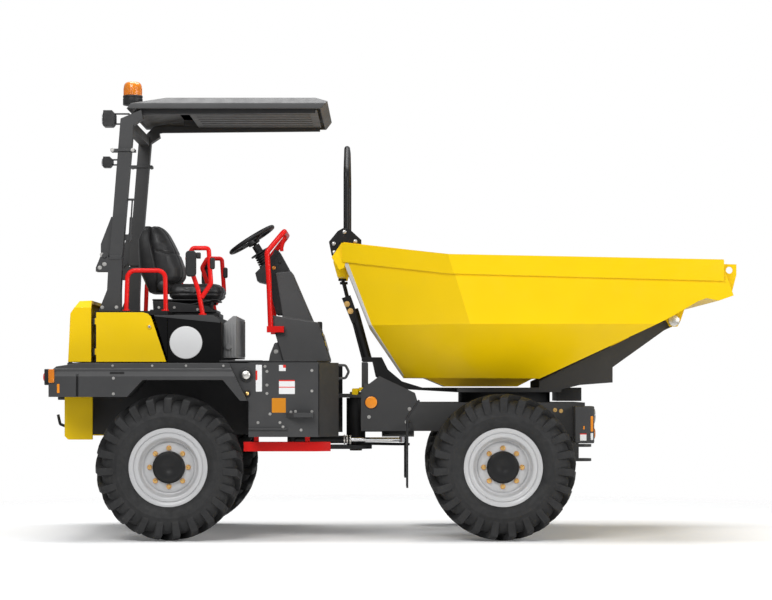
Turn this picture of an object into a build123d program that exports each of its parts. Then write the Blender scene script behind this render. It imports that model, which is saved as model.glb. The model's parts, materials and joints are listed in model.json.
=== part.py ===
from build123d import *
import math
import os

# Articulated site dumper with a swivel-tip skip, in millimetres.
# +X is forward, +Y is the machine's left side, +Z is up; the origin is on the
# ground under the middle of the machine.

# ---- driving dimensions ----------------------------------------------------
TYRE_R = 453.0            # out to the lugs' tips
TYRE_W = 300.0
RIM_R = 228.0             # bead seat
TRACK_HALF = 780.0        # wheel centre from the middle plane
REAR_AXLE_X = -1372.0
FRONT_AXLE_X = 688.0
PIVOT_X = -230.0          # vertical steering pivot between the two frames
ROLL_Z = 725.0            # fore-and-aft pivot that lets the axles follow the ground
DECK_Z = 1100.0           # top of the rear frame
BODY_HALF = 640.0         # half width over the engine doors
REAR_HALF = 850.0         # half width over the tanks
SWIVEL_X = 740.0          # turntable axis
FRONT_DECK_Z = 850.0      # top of the front frame
CONSOLE_Z = 945.0         # top of the turntable console
TIP_X = 1791.0            # skip's tipping pin
TIP_Z = 1370.0
TIP_HALF = 430.0          # half width over the console's arms
SHEET = 6.0               # skip's steel
RUN_FIT = 0.05            # radial clearance of a shaft in its bore
SEAT_GAP = 0.3            # between faces that rest on each other
AXLE_Z = TYRE_R


# ---- shape helpers ---------------------------------------------------------
def block(x0, x1, y0, y1, z0, z1):
    """A box between two opposite corners."""
    centre = Pos((x0 + x1) / 2, (y0 + y1) / 2, (z0 + z1) / 2)
    return centre * Box(x1 - x0, y1 - y0, z1 - z0)


def side_plate(points, y0, y1):
    """An outline in X and Z, solid from y0 to y1."""
    face = make_face(Polyline(*points, close=True))
    return extrude(Plane.XZ.offset(-y1) * face, y1 - y0)


def plan_plate(points, z0, z1):
    """An outline in X and Y, solid from z0 to z1."""
    face = make_face(Polyline(*points, close=True))
    return extrude(Plane.XY.offset(z0) * face, z1 - z0)


def rod(start, end, radius):
    """A round bar between two points."""
    line = Vector(*end) - Vector(*start)
    plane = Plane(origin=start, z_dir=line)
    return extrude(plane * Circle(radius), line.length)


def bent_tube(points, radius, bend):
    """A round tube along straight runs joined by arcs."""
    path = FilletPolyline(*points, radius=bend)
    start = Plane(origin=path @ 0, z_dir=path % 0)
    return sweep(start * Circle(radius), path=path)


def cyl_y(x, z, y0, y1, radius):
    """A cylinder that lies across the machine."""
    return rod((x, y0, z), (x, y1, z), radius)


def cyl_z(x, y, z0, z1, radius):
    """An upright cylinder."""
    return rod((x, y, z0), (x, y, z1), radius)


def both_sides(shape):
    """The shape and its mirror image across the middle plane."""
    return Compound([*shape.solids(), *mirror(shape, about=Plane.XZ).solids()])


def save(shape, node):
    export_step(shape, f"parts/{node}.step")


# ---- wheels ----------------------------------------------------------------
HUB_R = 100.0
AXLE_END = 640.0          # where the axle housing meets the wheel
SPINDLE_R = 45.0
BEAD_HALF = 112.0
NUT_R = 118.0


LUGS = 23                 # on each half, staggered by half a pitch
CASING_R = 419.0
LUG_NOSE = 14.0           # how far a lug reaches past the tyre's middle
LUG_X = 57.0              # how far its point leads its foot


def flat_ring(y, corner_r):
    """A regular outline about the Y axis with a side for every lug and a corner at the top."""
    plane = Plane(origin=(0, y, 0), x_dir=(0, 0, 1), z_dir=(0, 1, 0))
    return plane * RegularPolygon(corner_r, LUGS)


def flat_drum(table):
    """Solid through flat-sided rings from a table of y and corner radius."""
    return loft([flat_ring(y, r) for y, r in table], ruled=True)


def lug():
    """One lug of the near half, slanting from the shoulder to past the tyre's middle."""
    half = TYRE_W / 2
    plan = [(-92, -half), (-36, -half), (LUG_X, LUG_NOSE)]
    bar = plan_plate(plan, 330, TYRE_R)
    # y, z
    top = math.sqrt(TYRE_R ** 2 - LUG_X ** 2)
    profile = [(-half, 352), (-half, 424), (LUG_NOSE, top), (LUG_NOSE, 395), (-100, 395)]
    bar = bar & extrude(Plane.YZ.offset(-150) * make_face(Polyline(*profile, close=True)), 400)
    return Rot(0, 180 / LUGS, 0) * bar


def tyre():
    """One tyre about the Y axis: flat-sided casing with its lugs."""
    half = TYRE_W / 2
    bore_r = (RIM_R + SEAT_GAP) / math.cos(math.pi / LUGS)
    # half width, corner radius
    sections = [(BEAD_HALF - 5, bore_r), (half - 2, 343), (BEAD_HALF, CASING_R)]
    table = [(-w, r) for w, r in sections] + [(w, r) for w, r in reversed(sections)]
    casing = flat_drum(table)
    bore = extrude(flat_ring(-half, bore_r), TYRE_W)
    near = lug()
    far = mirror(near, about=Plane.XZ)
    pitch = 360 / LUGS
    lugs = [Rot(0, k * pitch, 0) * near for k in range(LUGS)]
    lugs += [Rot(0, (k + 0.5) * pitch, 0) * far for k in range(LUGS)]
    return casing.fuse(*lugs) - bore


def rim():
    """One rim with its dished disc and hub, outer face towards -Y."""
    outline = [
        (RIM_R - 8, -122), (RIM_R + 13, -122), (RIM_R + 13, -BEAD_HALF - SEAT_GAP),
        (RIM_R, -BEAD_HALF - SEAT_GAP), (RIM_R, BEAD_HALF + SEAT_GAP),
        (RIM_R + 13, BEAD_HALF + SEAT_GAP), (RIM_R + 13, 122), (RIM_R - 8, 122),
        (RIM_R - 8, -30), (156, -52), (SPINDLE_R + RUN_FIT, -52), (SPINDLE_R + RUN_FIT, -40),
        (0, -40), (0, -96), (HUB_R - 12, -96), (HUB_R, -84), (HUB_R, -66), (156, -66),
        (RIM_R - 28, -44), (RIM_R - 8, -60),
    ]
    disc = revolve(make_face(Polyline(*outline, close=True)), Axis.Y)
    sleeve = cyl_y(0, 0, -60, 130, 80) - cyl_y(0, 0, -40, 140, SPINDLE_R + RUN_FIT)
    nuts = [cyl_y(0, 0, -78, -60, 14).moved(Rot(0, a, 0) * Pos(NUT_R, 0, 0)) for a in range(0, 360, 45)]
    return disc + sleeve + nuts


def axle(x):
    """Axle housing with a spindle at each end."""
    beam = cyl_y(x, AXLE_Z, -AXLE_END, AXLE_END, 62)
    drive = block(x - 130, x + 130, -120, 120, AXLE_Z - 120, AXLE_Z + 110)
    spindle_tip = TRACK_HALF + 38
    spindles = cyl_y(x, AXLE_Z, -spindle_tip, spindle_tip, SPINDLE_R)
    return beam + drive + spindles


# ---- rear frame ------------------------------------------------------------
REAR_X = -2030.0
RAIL_HALF = 325.0
RAIL_T = 25.0
TANK_X = (-881.0, -480.0)
TANK_Z = 640.0
EAR_X = -480.0
EAR_HALF = 105.0
PIVOT_R = 40.0
EARS = [(545.0, 570.0), (880.0, 905.0)]     # bottom and top of each pivot ear
STEER_A = (-640.0, -210.0)                  # steering cylinder's rear pin, x and y
STEER_B = (82.0, -210.0)                    # its front pin
STEER_Z = 610.0
BARREL_END = -257.0                         # mouth of the steering cylinder's barrel
ROD_TAIL = -452.0                           # its rod's hidden end
EYE_HALF = 18.0
CAP = (-895.0, 1022.0)          # tank's filler cap, x and z


def rear_chassis():
    """Rails, deck, tanks at both sides and the two ears of the steering pivot."""
    deck = block(REAR_X, TANK_X[0], -BODY_HALF + 10, BODY_HALF - 10, DECK_Z - 40, DECK_Z)
    deck -= block(-1840, -1460, -290, 290, DECK_Z - 50, DECK_Z + 10)
    rails = both_sides(block(REAR_X, EAR_X, RAIL_HALF - RAIL_T, RAIL_HALF, 645, DECK_Z - 40))
    tail = block(REAR_X, REAR_X + 30, -RAIL_HALF, RAIL_HALF, 645, DECK_Z - 40)
    cradle = block(-1860, -1440, -RAIL_HALF, RAIL_HALF, 665, 690)
    axle_seat = block(REAR_AXLE_X - 110, REAR_AXLE_X + 110, -RAIL_HALF, RAIL_HALF,
                      AXLE_Z + 110 + SEAT_GAP, 645)
    tank = block(*TANK_X, RAIL_HALF - 1, REAR_HALF, TANK_Z, DECK_Z)
    nose = plan_plate([
        (TANK_X[1] - 1, REAR_HALF), (-450, REAR_HALF), (-330, 640), (-330, 622),
        (-458, REAR_HALF - 18), (TANK_X[1] - 1, REAR_HALF - 18)], TANK_Z, DECK_Z)
    bulkhead = block(EAR_X - 20, EAR_X, -RAIL_HALF, RAIL_HALF, TANK_Z + 5, DECK_Z)
    bulkhead += block(EAR_X - 20, EAR_X, -EAR_HALF, EAR_HALF, EARS[0][0], TANK_Z + 6)
    shape = deck + rails + tail + cradle + axle_seat + both_sides(tank) + both_sides(nose) + bulkhead
    for low, high in EARS:
        shape += block(EAR_X, PIVOT_X, -EAR_HALF, EAR_HALF, low, high)
        shape += cyl_z(PIVOT_X, 0, low, high, EAR_HALF)
    shape -= cyl_z(PIVOT_X, 0, 500, 950, PIVOT_R + RUN_FIT)
    shape += hood_pins()
    shape += both_sides(side_details())
    shape += cab_handle()
    shape += block(STEER_A[0] - 40, STEER_A[0] + 40, -RAIL_HALF, RAIL_HALF, TANK_Z, TANK_Z + 15)
    shape += cyl_z(*STEER_A, STEER_Z - EYE_HALF, TANK_Z, 15)
    return shape


def side_details():
    """Left side's outer plate with the filler cap, boarding step and skid lip."""
    face_y = REAR_HALF - 12
    plate = side_plate([(TANK_X[0] + 1, 863), (-886.4, 863), (-999.4, 1096), (TANK_X[0] + 1, 1096)], face_y, REAR_HALF)
    ring = cyl_y(*CAP, face_y, REAR_HALF + 8, 40)
    cap = cyl_y(*CAP, face_y, REAR_HALF + 22, 26)
    step = plan_plate([(-650, REAR_HALF - 1), (-600, REAR_HALF + 55), (TANK_X[1], REAR_HALF + 58),
                       (TANK_X[1], REAR_HALF - 1)], 762, 788)
    lip = block(TANK_X[0], -640, REAR_HALF - 1, REAR_HALF + 12, 684, 694)
    return plate + ring + cap + step + lip


def cab_handle():
    """Black loop at the front of the right tank."""
    y = -631
    return bent_tube([(-334, y, 1086), (-286, y, 1084), (-266, y, 1044), (-286, y, 1004), (-334, y, 1002)], 8, 18)


def engine_block():
    return block(-1830, -1470, -260, 260, 690 + SEAT_GAP, 1330)


def rear_fenders():
    """Flat-topped guards over the rear wheels."""
    outline = [
        (-2104, 887), (-2104, 1040), (-2060, 1075), (-1920, 1096), (-1000, 1096),
        (-887, 863), (-929, 863), (-1035, 991), (-1527, 991), (-1623, 887)]
    inner = BODY_HALF - 10 + SEAT_GAP
    body = side_plate(outline, inner, 920)
    # y, z: upright sides with a sloping ledge between them
    section = [(inner, 850), (920, 850), (920, 1015), (902, 1042), (902, 1058), (894, 1064), (894, 1100), (inner, 1100)]
    body = body & extrude(Plane.YZ.offset(-2200) * make_face(Polyline(*section, close=True)), 1500)
    return both_sides(body - block(-1935, -1921, 910, 930, 880, 1050))


def tail_cover():
    """Yellow panel below the rear guards, across the counterweight."""
    outline = [(-2052, 640), (-2052, 899), (-2030.3, 899), (-2030.3, 640)]
    half = BODY_HALF - 40
    skin = side_plate(outline, -half, half)
    ends = side_plate([(-2052, 640), (-2052, 899), (-1875, 899), (-1875, 618), (-2030, 618)], half - 15, half)
    return skin + both_sides(ends) + both_sides(block(-1960, -1920, RAIL_HALF + SEAT_GAP, half - 10, 700, 740))


def platform():
    """Driver's floor."""
    half = REAR_HALF - 12
    outline = [(-1065, -half), (-455, -half), (-396, 220 - half), (-396, half - 220), (-455, half), (-1065, half)]
    return plan_plate(outline, DECK_Z + SEAT_GAP, DECK_Z + 12)


# ---- engine cover, doors and seat ------------------------------------------
COVER_X = (-1860.0, -1403.0)
COVER_TOP = 1426.0
DOOR_HINGE = (-1862.0, BODY_HALF - 11)   # left door's hinge line, x and y
KNUCKLE_Z = (1150.0, 1340.0)
KNUCKLE_H = 40.0
KNUCKLE_T = 6.0
HOOD_HINGE = (-2040.0, 1112.0)       # x and z
HOOD_KNUCKLE_Y = 430.0
CONSOLE_X = (-1403.0, -1065.0)


def engine_frame():
    """Top plate over the engine bay, its corner posts and the doors' hinge pins."""
    top = block(*COVER_X, -BODY_HALF + 25, BODY_HALF - 25, 1400, COVER_TOP)
    post = block(COVER_X[0], COVER_X[0] + 40, BODY_HALF - 85, BODY_HALF - 25, DECK_Z + SEAT_GAP, 1400)
    x, y = DOOR_HINGE
    for z in KNUCKLE_Z:
        post += block(x - 8, x + 12, BODY_HALF - 30, y + 6, z - KNUCKLE_T, z)
        post += cyl_z(x, y, z - KNUCKLE_T, z + KNUCKLE_H, 5)
    return top + both_sides(post)


def engine_door():
    """Left door over the engine bay, hinged at its rear edge."""
    x, y = DOOR_HINGE
    low, high = DECK_Z + 6, 1416
    outline = [(x + 14, low), (x + 14, high), (-1556, high), (-1528, high - 7), (-1508, high - 24),
               (-1497, high - 50), (-1410, low)]
    door = side_plate(outline, BODY_HALF - 20, BODY_HALF)
    door += cyl_y(-1514, 1326, BODY_HALF - 1, BODY_HALF + 6, 15)
    for z in KNUCKLE_Z:
        door += cyl_z(x, y, z + SEAT_GAP, z + KNUCKLE_H, 9)
        door += block(x, x + 20, y - 8, y + 8, z + SEAT_GAP, z + KNUCKLE_H)
        door -= cyl_z(x, y, z - 1, z + KNUCKLE_H + 1, 5 + RUN_FIT)
    return door


def rear_hood():
    """Tail lid, a bent sheet box open towards the engine."""
    outer = [(-2024, 1106), (-2010, 1410), (-1955, 1488), (-1880, 1491), (-1880, 1106)]
    inner = [(-2000, 1100), (-1988, 1404), (-1944, 1468), (-1860, 1471), (-1860, 1100)]
    outside = side_plate(outer, -BODY_HALF, BODY_HALF) & hood_section(BODY_HALF, 0)
    shape = outside - (side_plate(inner, 20 - BODY_HALF, BODY_HALF - 20) & hood_section(BODY_HALF - 20, 14))
    x, z = HOOD_HINGE
    for y in (-HOOD_KNUCKLE_Y, HOOD_KNUCKLE_Y):
        shape += cyl_y(x, z, y - 20, y + 20, 11) + block(x, -2015, y - 20, y + 20, z - 4, z + 11)
        shape -= cyl_y(x, z, y - 30, y + 30, 6 + RUN_FIT)
    return shape


def hood_section(half, drop):
    """The hood's section across the machine, with its two bevelled top edges."""
    points = [(-half, 1090), (-half, 1446 - drop), (34 - half, 1494 - drop), (half - 34, 1494 - drop),
              (half, 1446 - drop), (half, 1090)]
    return extrude(Plane.YZ.offset(-2100) * make_face(Polyline(*points, close=True)), 400)


def hood_pins():
    """Hinge pins of the rear hood with the ears that hold them."""
    x, z = HOOD_HINGE
    shape = []
    for y in (-HOOD_KNUCKLE_Y, HOOD_KNUCKLE_Y):
        shape.append(cyl_y(x, z, y - 28, y + 28, 6))
        for start in (y - 28, y + 20 + SEAT_GAP):
            shape.append(block(x - 9, REAR_X, start, start + 7, DECK_Z - 25, z + 9))
    return shape


def seat_console():
    """Black box under the seat."""
    x0, x1 = CONSOLE_X
    outer = side_plate([(x0, DECK_Z + SEAT_GAP), (x0, 1400), (-1110, 1400), (x1, 1355),
                        (x1, DECK_Z + SEAT_GAP)], -BODY_HALF, BODY_HALF)
    inner = side_plate([(x0 + 12, DECK_Z - 5), (x0 + 12, 1388), (-1114, 1388), (x1 - 12, 1350),
                        (x1 - 12, DECK_Z - 5)], 12 - BODY_HALF, BODY_HALF - 12)
    return outer - inner


def console_front():
    """Grey ribbed cover in front of the seat box."""
    x = CONSOLE_X[1]
    half = 430
    body = side_plate([(x + SEAT_GAP, 1134), (x + SEAT_GAP, 1350), (-1005, 1400), (-985, 1400),
                       (-985, 1134)], -half, half)
    side_ribs = [block(rib - 5, rib + 5, half - 1, half + 4, 1140, 1352) for rib in (-1050, -1031, -1012, -993)]
    front_ribs = [block(-986, -980, y - 12, y + 12, 1150, 1385) for y in range(-385, 386, 70)]
    knob = cyl_y(-1033, 1203, -half - 24, -half + 1, 17)
    return body + [*both_sides(Compound(side_ribs)).solids(), *front_ribs, knob]


SQUAB_Z = 1518.0               # underside of the seat cushion
BACK_X = -1456.0               # where the backrest meets it


def seat_base():
    """Sprung base of the seat."""
    foot = block(-1560, -1130, -190, 190, COVER_TOP + SEAT_GAP, COVER_TOP + 24)
    body = block(-1530, -1160, -165, 165, COVER_TOP + 24, SQUAB_Z - SEAT_GAP)
    deck = block(-1403 + SEAT_GAP, -1110, -190, 190, 1400 + SEAT_GAP, COVER_TOP + 1)
    return foot + body + deck


def seat_cushion():
    rear = BACK_X + SEAT_GAP
    outline = [(rear, SQUAB_Z), (rear, 1612), (-1400, 1618), (-1112, 1614), (-1082, 1594), (-1077, 1540),
               (-1092, SQUAB_Z)]
    return side_plate(outline, -230, 230)


def seat_back():
    outline = [(-1570, 1560), (-1630, 1700), (-1640, 1900), (-1600, 1985), (-1560, 2003), (-1490, 1995),
               (-1430, 1910), (-1374, 1800), (-1342, 1716), (-1339, 1658), (-1360, 1623.3), (BACK_X, 1623.3),
               (BACK_X, 1560)]
    return side_plate(outline, -225, 225)


# ---- driver's controls -----------------------------------------------------
HUB = (-901.0, 1896.0)         # steering wheel's hub, x and z
WHEEL_TILT = 32.0
COLUMN_BASE = (-735.0, 1690.0)


def wheel_axis():
    tilt = math.radians(WHEEL_TILT)
    return Vector(-math.sin(tilt), 0, math.cos(tilt))


def column_shroud():
    """Two-part moulding round the steering column, wider below."""
    foot_z = DECK_Z + 12 + SEAT_GAP
    lower = side_plate([(-784, 1414), (-467, 1365), (-398, 1131), (-398, foot_z), (-695, foot_z)], -230, 230)
    upper = side_plate([(-750, 1689), (-647, 1700), (-505, 1370), (-702, 1400)], -180, 180)
    bracket = side_plate([(-790, foot_z), (-782, 1160), (-752, 1235), (-725, 1235), (-690, foot_z)], -215, 215)
    return lower + upper + bracket


def along_column(start, end, radius):
    """A round bar on the steering axis; start and end are measured down from the hub."""
    hub = Vector(HUB[0], 0, HUB[1])
    return rod(tuple(hub - wheel_axis() * start), tuple(hub - wheel_axis() * end), radius)


def steering_column():
    """Instrument housing, bellows and shaft up to the steering wheel's hub."""
    housing = side_plate([
        (-882, 1688), (-869, 1636), (-811, 1623), (-785, 1571), (-745, 1420), (-690, 1420), (-690, 1700),
        (-665, 1702), (-665, 1717), (-727, 1830), (-753, 1843), (-798, 1759), (-837, 1733), (-863, 1707)], -140, 140)
    shape = housing + along_column(24, 220, 26) + along_column(78, 86, 66)
    # start, end, radius of the bellows' folds
    for start, end, radius in [(92, 102, 46), (108, 118, 48), (124, 134, 50), (140, 150, 52), (156, 166, 54)]:
        shape += along_column(start, end, radius)
    shape += along_column(92, 166, 38)
    return shape - column_shroud() + along_column(-12, 30, 12)


def steering_wheel():
    """Rim, spokes and hub about the tilted axis."""
    plane = Plane(origin=(HUB[0], 0, HUB[1]), z_dir=wheel_axis())
    ring = plane * Pos(0, 0, 20) * Torus(158, 13)
    hub = plane * Pos(0, 0, 4) * Cylinder(42, 40)
    spokes = [plane * Rot(0, 0, a) * Pos(100, 0, 12) * Box(130, 24, 12) for a in (90, 210, 330)]
    bore = plane * Pos(0, 0, -6) * Cylinder(12 + RUN_FIT, 44)
    return ring + hub + spokes - bore


def grab_bar():
    """Red bar round the steering column."""
    side = 250
    path = [(-775, -side, 1300), (-788, -side, 1650), (-799, -side, 1818), (-690, -side + 30, 1953),
            (-690, side - 30, 1953), (-799, side, 1818), (-788, side, 1650), (-775, side, 1300)]
    bar = bent_tube(path, 17, 40)
    lugs = block(-800, -690, 230 + SEAT_GAP, 268, 1300, 1340)
    brace = bent_tube([(-690, 0, 1953), (-717, 0, 1862), (-716, 0, 1838)], 12, 12)
    return bar + both_sides(lugs) + brace


HOOP_Y = BODY_HALF - 80


def side_hoops():
    """Red hoops at both sides of the seat."""
    y = HOOP_Y
    rear = bent_tube([(-1669, y, COVER_TOP + 6), (-1660, y, 1682), (-1424, y, 1682),
                      (-1420, y, COVER_TOP + 6)], 14.5, 50)
    for x in (-1669, -1424):
        rear += cyl_z(x, y, COVER_TOP + SEAT_GAP, COVER_TOP + 9, 24)
    front = bent_tube([(-1188, y, 1408), (-1215, y, 1558), (-1285, y, 1760),
                       (-1250, y, 1823), (-1150, y, 1823), (-1135, y, 1600),
                       (-1195, y, 1510)], 14.5, 20)
    front += cyl_z(-1188, y, 1400 + SEAT_GAP, 1411, 24)
    return Compound([*both_sides(rear).solids(), *both_sides(front).solids()])


# ---- roll-over frame -------------------------------------------------------
ROPS_Y = BODY_HALF - 120
ROPS_PIVOT = (-1807.0, 1776.0)
POST = 80.0


def rops_feet():
    """Fixed lower posts with the hinge plates."""
    post = side_plate([(-1843, 1426.3), (-1790, 1560), (-1780, 1764), (-1695, 1764), (-1704, 1560),
                       (-1704, 1426.3)], ROPS_Y - POST / 2, ROPS_Y + POST / 2)
    ear_outline = [(-1861, 1675), (-1861, 1700), (-1830, 1776), (-1820, 1796), (-1800, 1800),
                   (-1785, 1790), (-1775, 1740), (-1775, 1675)]
    ears = [side_plate(ear_outline, y, y + 10) for y in (ROPS_Y - POST / 2, ROPS_Y + POST / 2 - 10)]
    pin = cyl_y(*ROPS_PIVOT, ROPS_Y - 50, ROPS_Y + 50, 14)
    return both_sides(post + ears[0] + ears[1] + pin)


def rops_frame():
    """Folding posts, their cross bar and the canopy's carriers."""
    low, high = 1770.0, 2640.0
    lean = math.tan(math.radians(4.6))
    base = -1735.0
    top = base + (high - low) * lean
    half = POST / 2
    post = side_plate([(base - half, low), (top - half, high), (top + 90, high + 55), (top + half + 60, high),
                       (top + half, high - 40), (base + half, low)], ROPS_Y - half, ROPS_Y + half)
    tongue_y = (ROPS_Y - 28, ROPS_Y + 28)
    tongue = side_plate([(-1831, 1776), (-1831, 1850), (-1765, 2021), (-1745, 2021), (-1765, 1790),
                         (-1783, 1776)], *tongue_y)
    tongue += cyl_y(*ROPS_PIVOT, *tongue_y, 24)
    tongue -= cyl_y(*ROPS_PIVOT, ROPS_Y - 60, ROPS_Y + 60, 14 + RUN_FIT)
    carrier = side_plate([(top, high + 10), (top + 60, 2712), (-480, 2712), (-480, 2680),
                          (top + 120, 2670)], ROPS_Y - half, ROPS_Y - half + 30)
    bar = block(top - 30, top + 30, -ROPS_Y, ROPS_Y, high - 60, high)
    flange = block(-1768, -1616, ROPS_Y - 50, ROPS_Y + 50, 2433, 2449)
    return bar + both_sides(post + flange) + both_sides(tongue) + both_sides(carrier) + gas_spring()


def gas_spring():
    """Gas spring in front of the right post, with the ears that hold it."""
    y = -ROPS_Y
    low_ear = block(-1700, -1636, y - 8, y + 8, 1874, 1912)
    high_ear = block(-1690, -1624, y - 14, y + 14, 2126, 2138)
    tube = rod((-1651, y, 1866), (-1642, y, 2020), 10)
    stem = rod((-1642, y, 2018), (-1635, y, 2130), 5)
    return [low_ear, high_ear, tube, stem]


def roof_section(half, low, knee, top):
    """The roof's section across the machine: upright skirts, then a slope up to the top."""
    points = [(-half, low), (-half, knee), (55 - half, top), (half - 55, top), (half, knee), (half, low)]
    return extrude(Plane.YZ.offset(-1700) * make_face(Polyline(*points, close=True)), 1400)


def canopy():
    """Sheet roof with bent-down sides."""
    outer = [(-1667, 2700), (-1640, 2735), (-1420, 2776), (-480, 2776), (-400, 2750), (-440, 2700)]
    inner = [(-1655, 2690), (-1600, 2722), (-1400, 2756), (-500, 2756), (-430, 2735), (-455, 2690)]
    half = ROPS_Y + 55
    shell = side_plate(outer, -half, half) & roof_section(half, 2680, 2735, 2777)
    half -= 12
    shell -= side_plate(inner, -half, half) & roof_section(half, 2670, 2724, 2764)
    ribs = block(-1400, -520, ROPS_Y - 40, ROPS_Y - 10, 2712 + SEAT_GAP, 2757)
    return shell + both_sides(ribs)


def beacon():
    # radius, height
    outline = [(0, 2735), (63, 2735), (63, 2790), (58, 2797), (58, 2856), (52, 2874), (36, 2884), (0, 2886)]
    turned = revolve(Plane.XZ * make_face(Polyline(*outline, close=True)), Axis.Z)
    return Pos(-1640, -450, 0) * turned - canopy()


def work_lamps():
    """Two lamps behind the roll-over frame's right post, each on its fork."""
    y = -ROPS_Y
    frame = rops_frame()
    lamps = []
    # rear face, front face, middle height, half height, end of the fork
    for back, front, z, half, hold in [(-1813, -1740, 2641, 50, -1652), (-1816, -1756, 2367, 34, -1680)]:
        body = side_plate([(back, z - half), (back, z + half), (front - 18, z + half), (front, z + half - 22),
                           (front, z - half + 22), (front - 18, z - half)], y - half - 4, y + half + 4)
        lens = rod((back - 6, y, z), (back + 2, y, z), half - 8)
        fork = [block(front - 14, hold, y - 14, y + 14, level - 4, level + 4) for level in (z + half - 18, z - half + 18)]
        lamps += (body + lens + fork - frame).solids()[:1]
    return Compound(lamps)


# ---- articulation ----------------------------------------------------------
ROLL_R = 70.0


def pivot_link():
    """Upright pin, its boss, the roll shaft and the arm that the steering cylinder pushes."""
    boss = cyl_z(PIVOT_X, 0, EARS[0][1] + 2, EARS[1][0] - 2, 62)
    pin = cyl_z(PIVOT_X, 0, EARS[0][0] - 12, EARS[1][1] + 12, PIVOT_R)
    shaft = rod((PIVOT_X + 30, 0, ROLL_Z), (150, 0, ROLL_Z), ROLL_R)
    arm = plan_plate([(PIVOT_X, 50), (PIVOT_X, -62), (40, -250), (120, -240), (120, -170), (-120, 50)],
                     EARS[0][1] + 2, STEER_Z - EYE_HALF - 5)
    return boss + pin + shaft + arm


def steer_barrel():
    x, y = STEER_A
    tube = rod((x + 22, y, STEER_Z), (BARREL_END, y, STEER_Z), 25)
    eye = cyl_z(x, y, STEER_Z - EYE_HALF, STEER_Z + EYE_HALF, 30)
    bore = rod((x + 50, y, STEER_Z), (BARREL_END + 10, y, STEER_Z), 14 + RUN_FIT)
    return tube + eye - bore - cyl_z(x, y, STEER_Z - 30, STEER_Z + 30, 15 + RUN_FIT)


def steer_rod():
    x, y = STEER_B
    bar = rod((ROD_TAIL, y, STEER_Z), (x - 20, y, STEER_Z), 14)
    return bar + cyl_z(x, y, STEER_Z - EYE_HALF, STEER_Z + EYE_HALF, 30)


# ---- front frame -----------------------------------------------------------
FRONT_HALF = 450.0
FRONT_X = (-192.0, 1230.0)


def front_chassis():
    """Side plates, deck under the turntable, bearing of the roll shaft."""
    outline = [(FRONT_X[0], 669), (FRONT_X[0], 930), (-75, 1018), (151, 911), (170, FRONT_DECK_Z),
               (FRONT_X[1], FRONT_DECK_Z), (FRONT_X[1], 640), (900, 600), (480, 600), (300, 669)]
    plates = both_sides(side_plate(outline, FRONT_HALF - 14, FRONT_HALF))
    beam = block(-175, -140, -FRONT_HALF, FRONT_HALF, 930, 970)
    stop = block(-190, -152, PROP_Y - 22, PROP_Y + 22, 930, PROP_FOOT_Z - 7)
    deck = block(170, FRONT_X[1], -FRONT_HALF, FRONT_HALF, FRONT_DECK_Z - 20, FRONT_DECK_Z)
    wall = block(60, 85, -FRONT_HALF, FRONT_HALF, 690, 900)
    nose = block(FRONT_X[1] - 25, FRONT_X[1], -FRONT_HALF, FRONT_HALF, 640, FRONT_DECK_Z)
    floor = block(480, 900, -FRONT_HALF, FRONT_HALF, 600, 620)
    seat_low = AXLE_Z + 110 + SEAT_GAP
    axle_seat = block(FRONT_AXLE_X - 110, FRONT_AXLE_X + 110, -300, 300, seat_low, 610)
    housing = rod((-60, 0, ROLL_Z), (150, 0, ROLL_Z), ROLL_R + 32)
    shape = plates + deck + wall + nose + floor + axle_seat + housing + tow_jaw() + beam + both_sides(stop)
    shape -= rod((-100, 0, ROLL_Z), (200, 0, ROLL_Z), ROLL_R + RUN_FIT)
    return shape - cyl_z(SWIVEL_X, 0, FRONT_DECK_Z - 30, FRONT_DECK_Z + 10, 100 + RUN_FIT)


def mud_flaps():
    """Rubber flaps behind the front wheels, each on its bracket."""
    flap = side_plate([(92, 328), (92, 760), (170, 870), (176, 862), (104, 756), (104, 328)], 640, 915)
    arm = block(104, 125, FRONT_HALF + SEAT_GAP, 900, 700, 730)
    return both_sides(flap + arm)


def lamp_boxes():
    """Front lamp boxes with their brackets on the frame's nose."""
    body = block(1151, 1274, FRONT_HALF + SEAT_GAP, 620, 595, 828)
    return both_sides(body)


def tow_jaw():
    """Front towing jaw with an upright pin hole."""
    plates = [block(1205, 1262, -60, 60, z, z + 18) + cyl_z(1252, 0, z, z + 18, 60) for z in (464, 557)]
    web = block(1180, 1225, -60, 60, 464, 660)
    return web + plates[0] + plates[1] - cyl_z(1270, 0, 450, 590, 16)


# ---- turntable, console and tipping cylinder -------------------------------
TIP_A = (TIP_X - 661, 985.0)  # tipping cylinder's lower pin, x and z
TIP_B = (TIP_X - 291, 1215.0)  # its eye on the skip
PIN_BOSS = 36.0
PROP_Y = 240.0                # the two rear props
PROP_FOOT_Z = 1115.0


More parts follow.
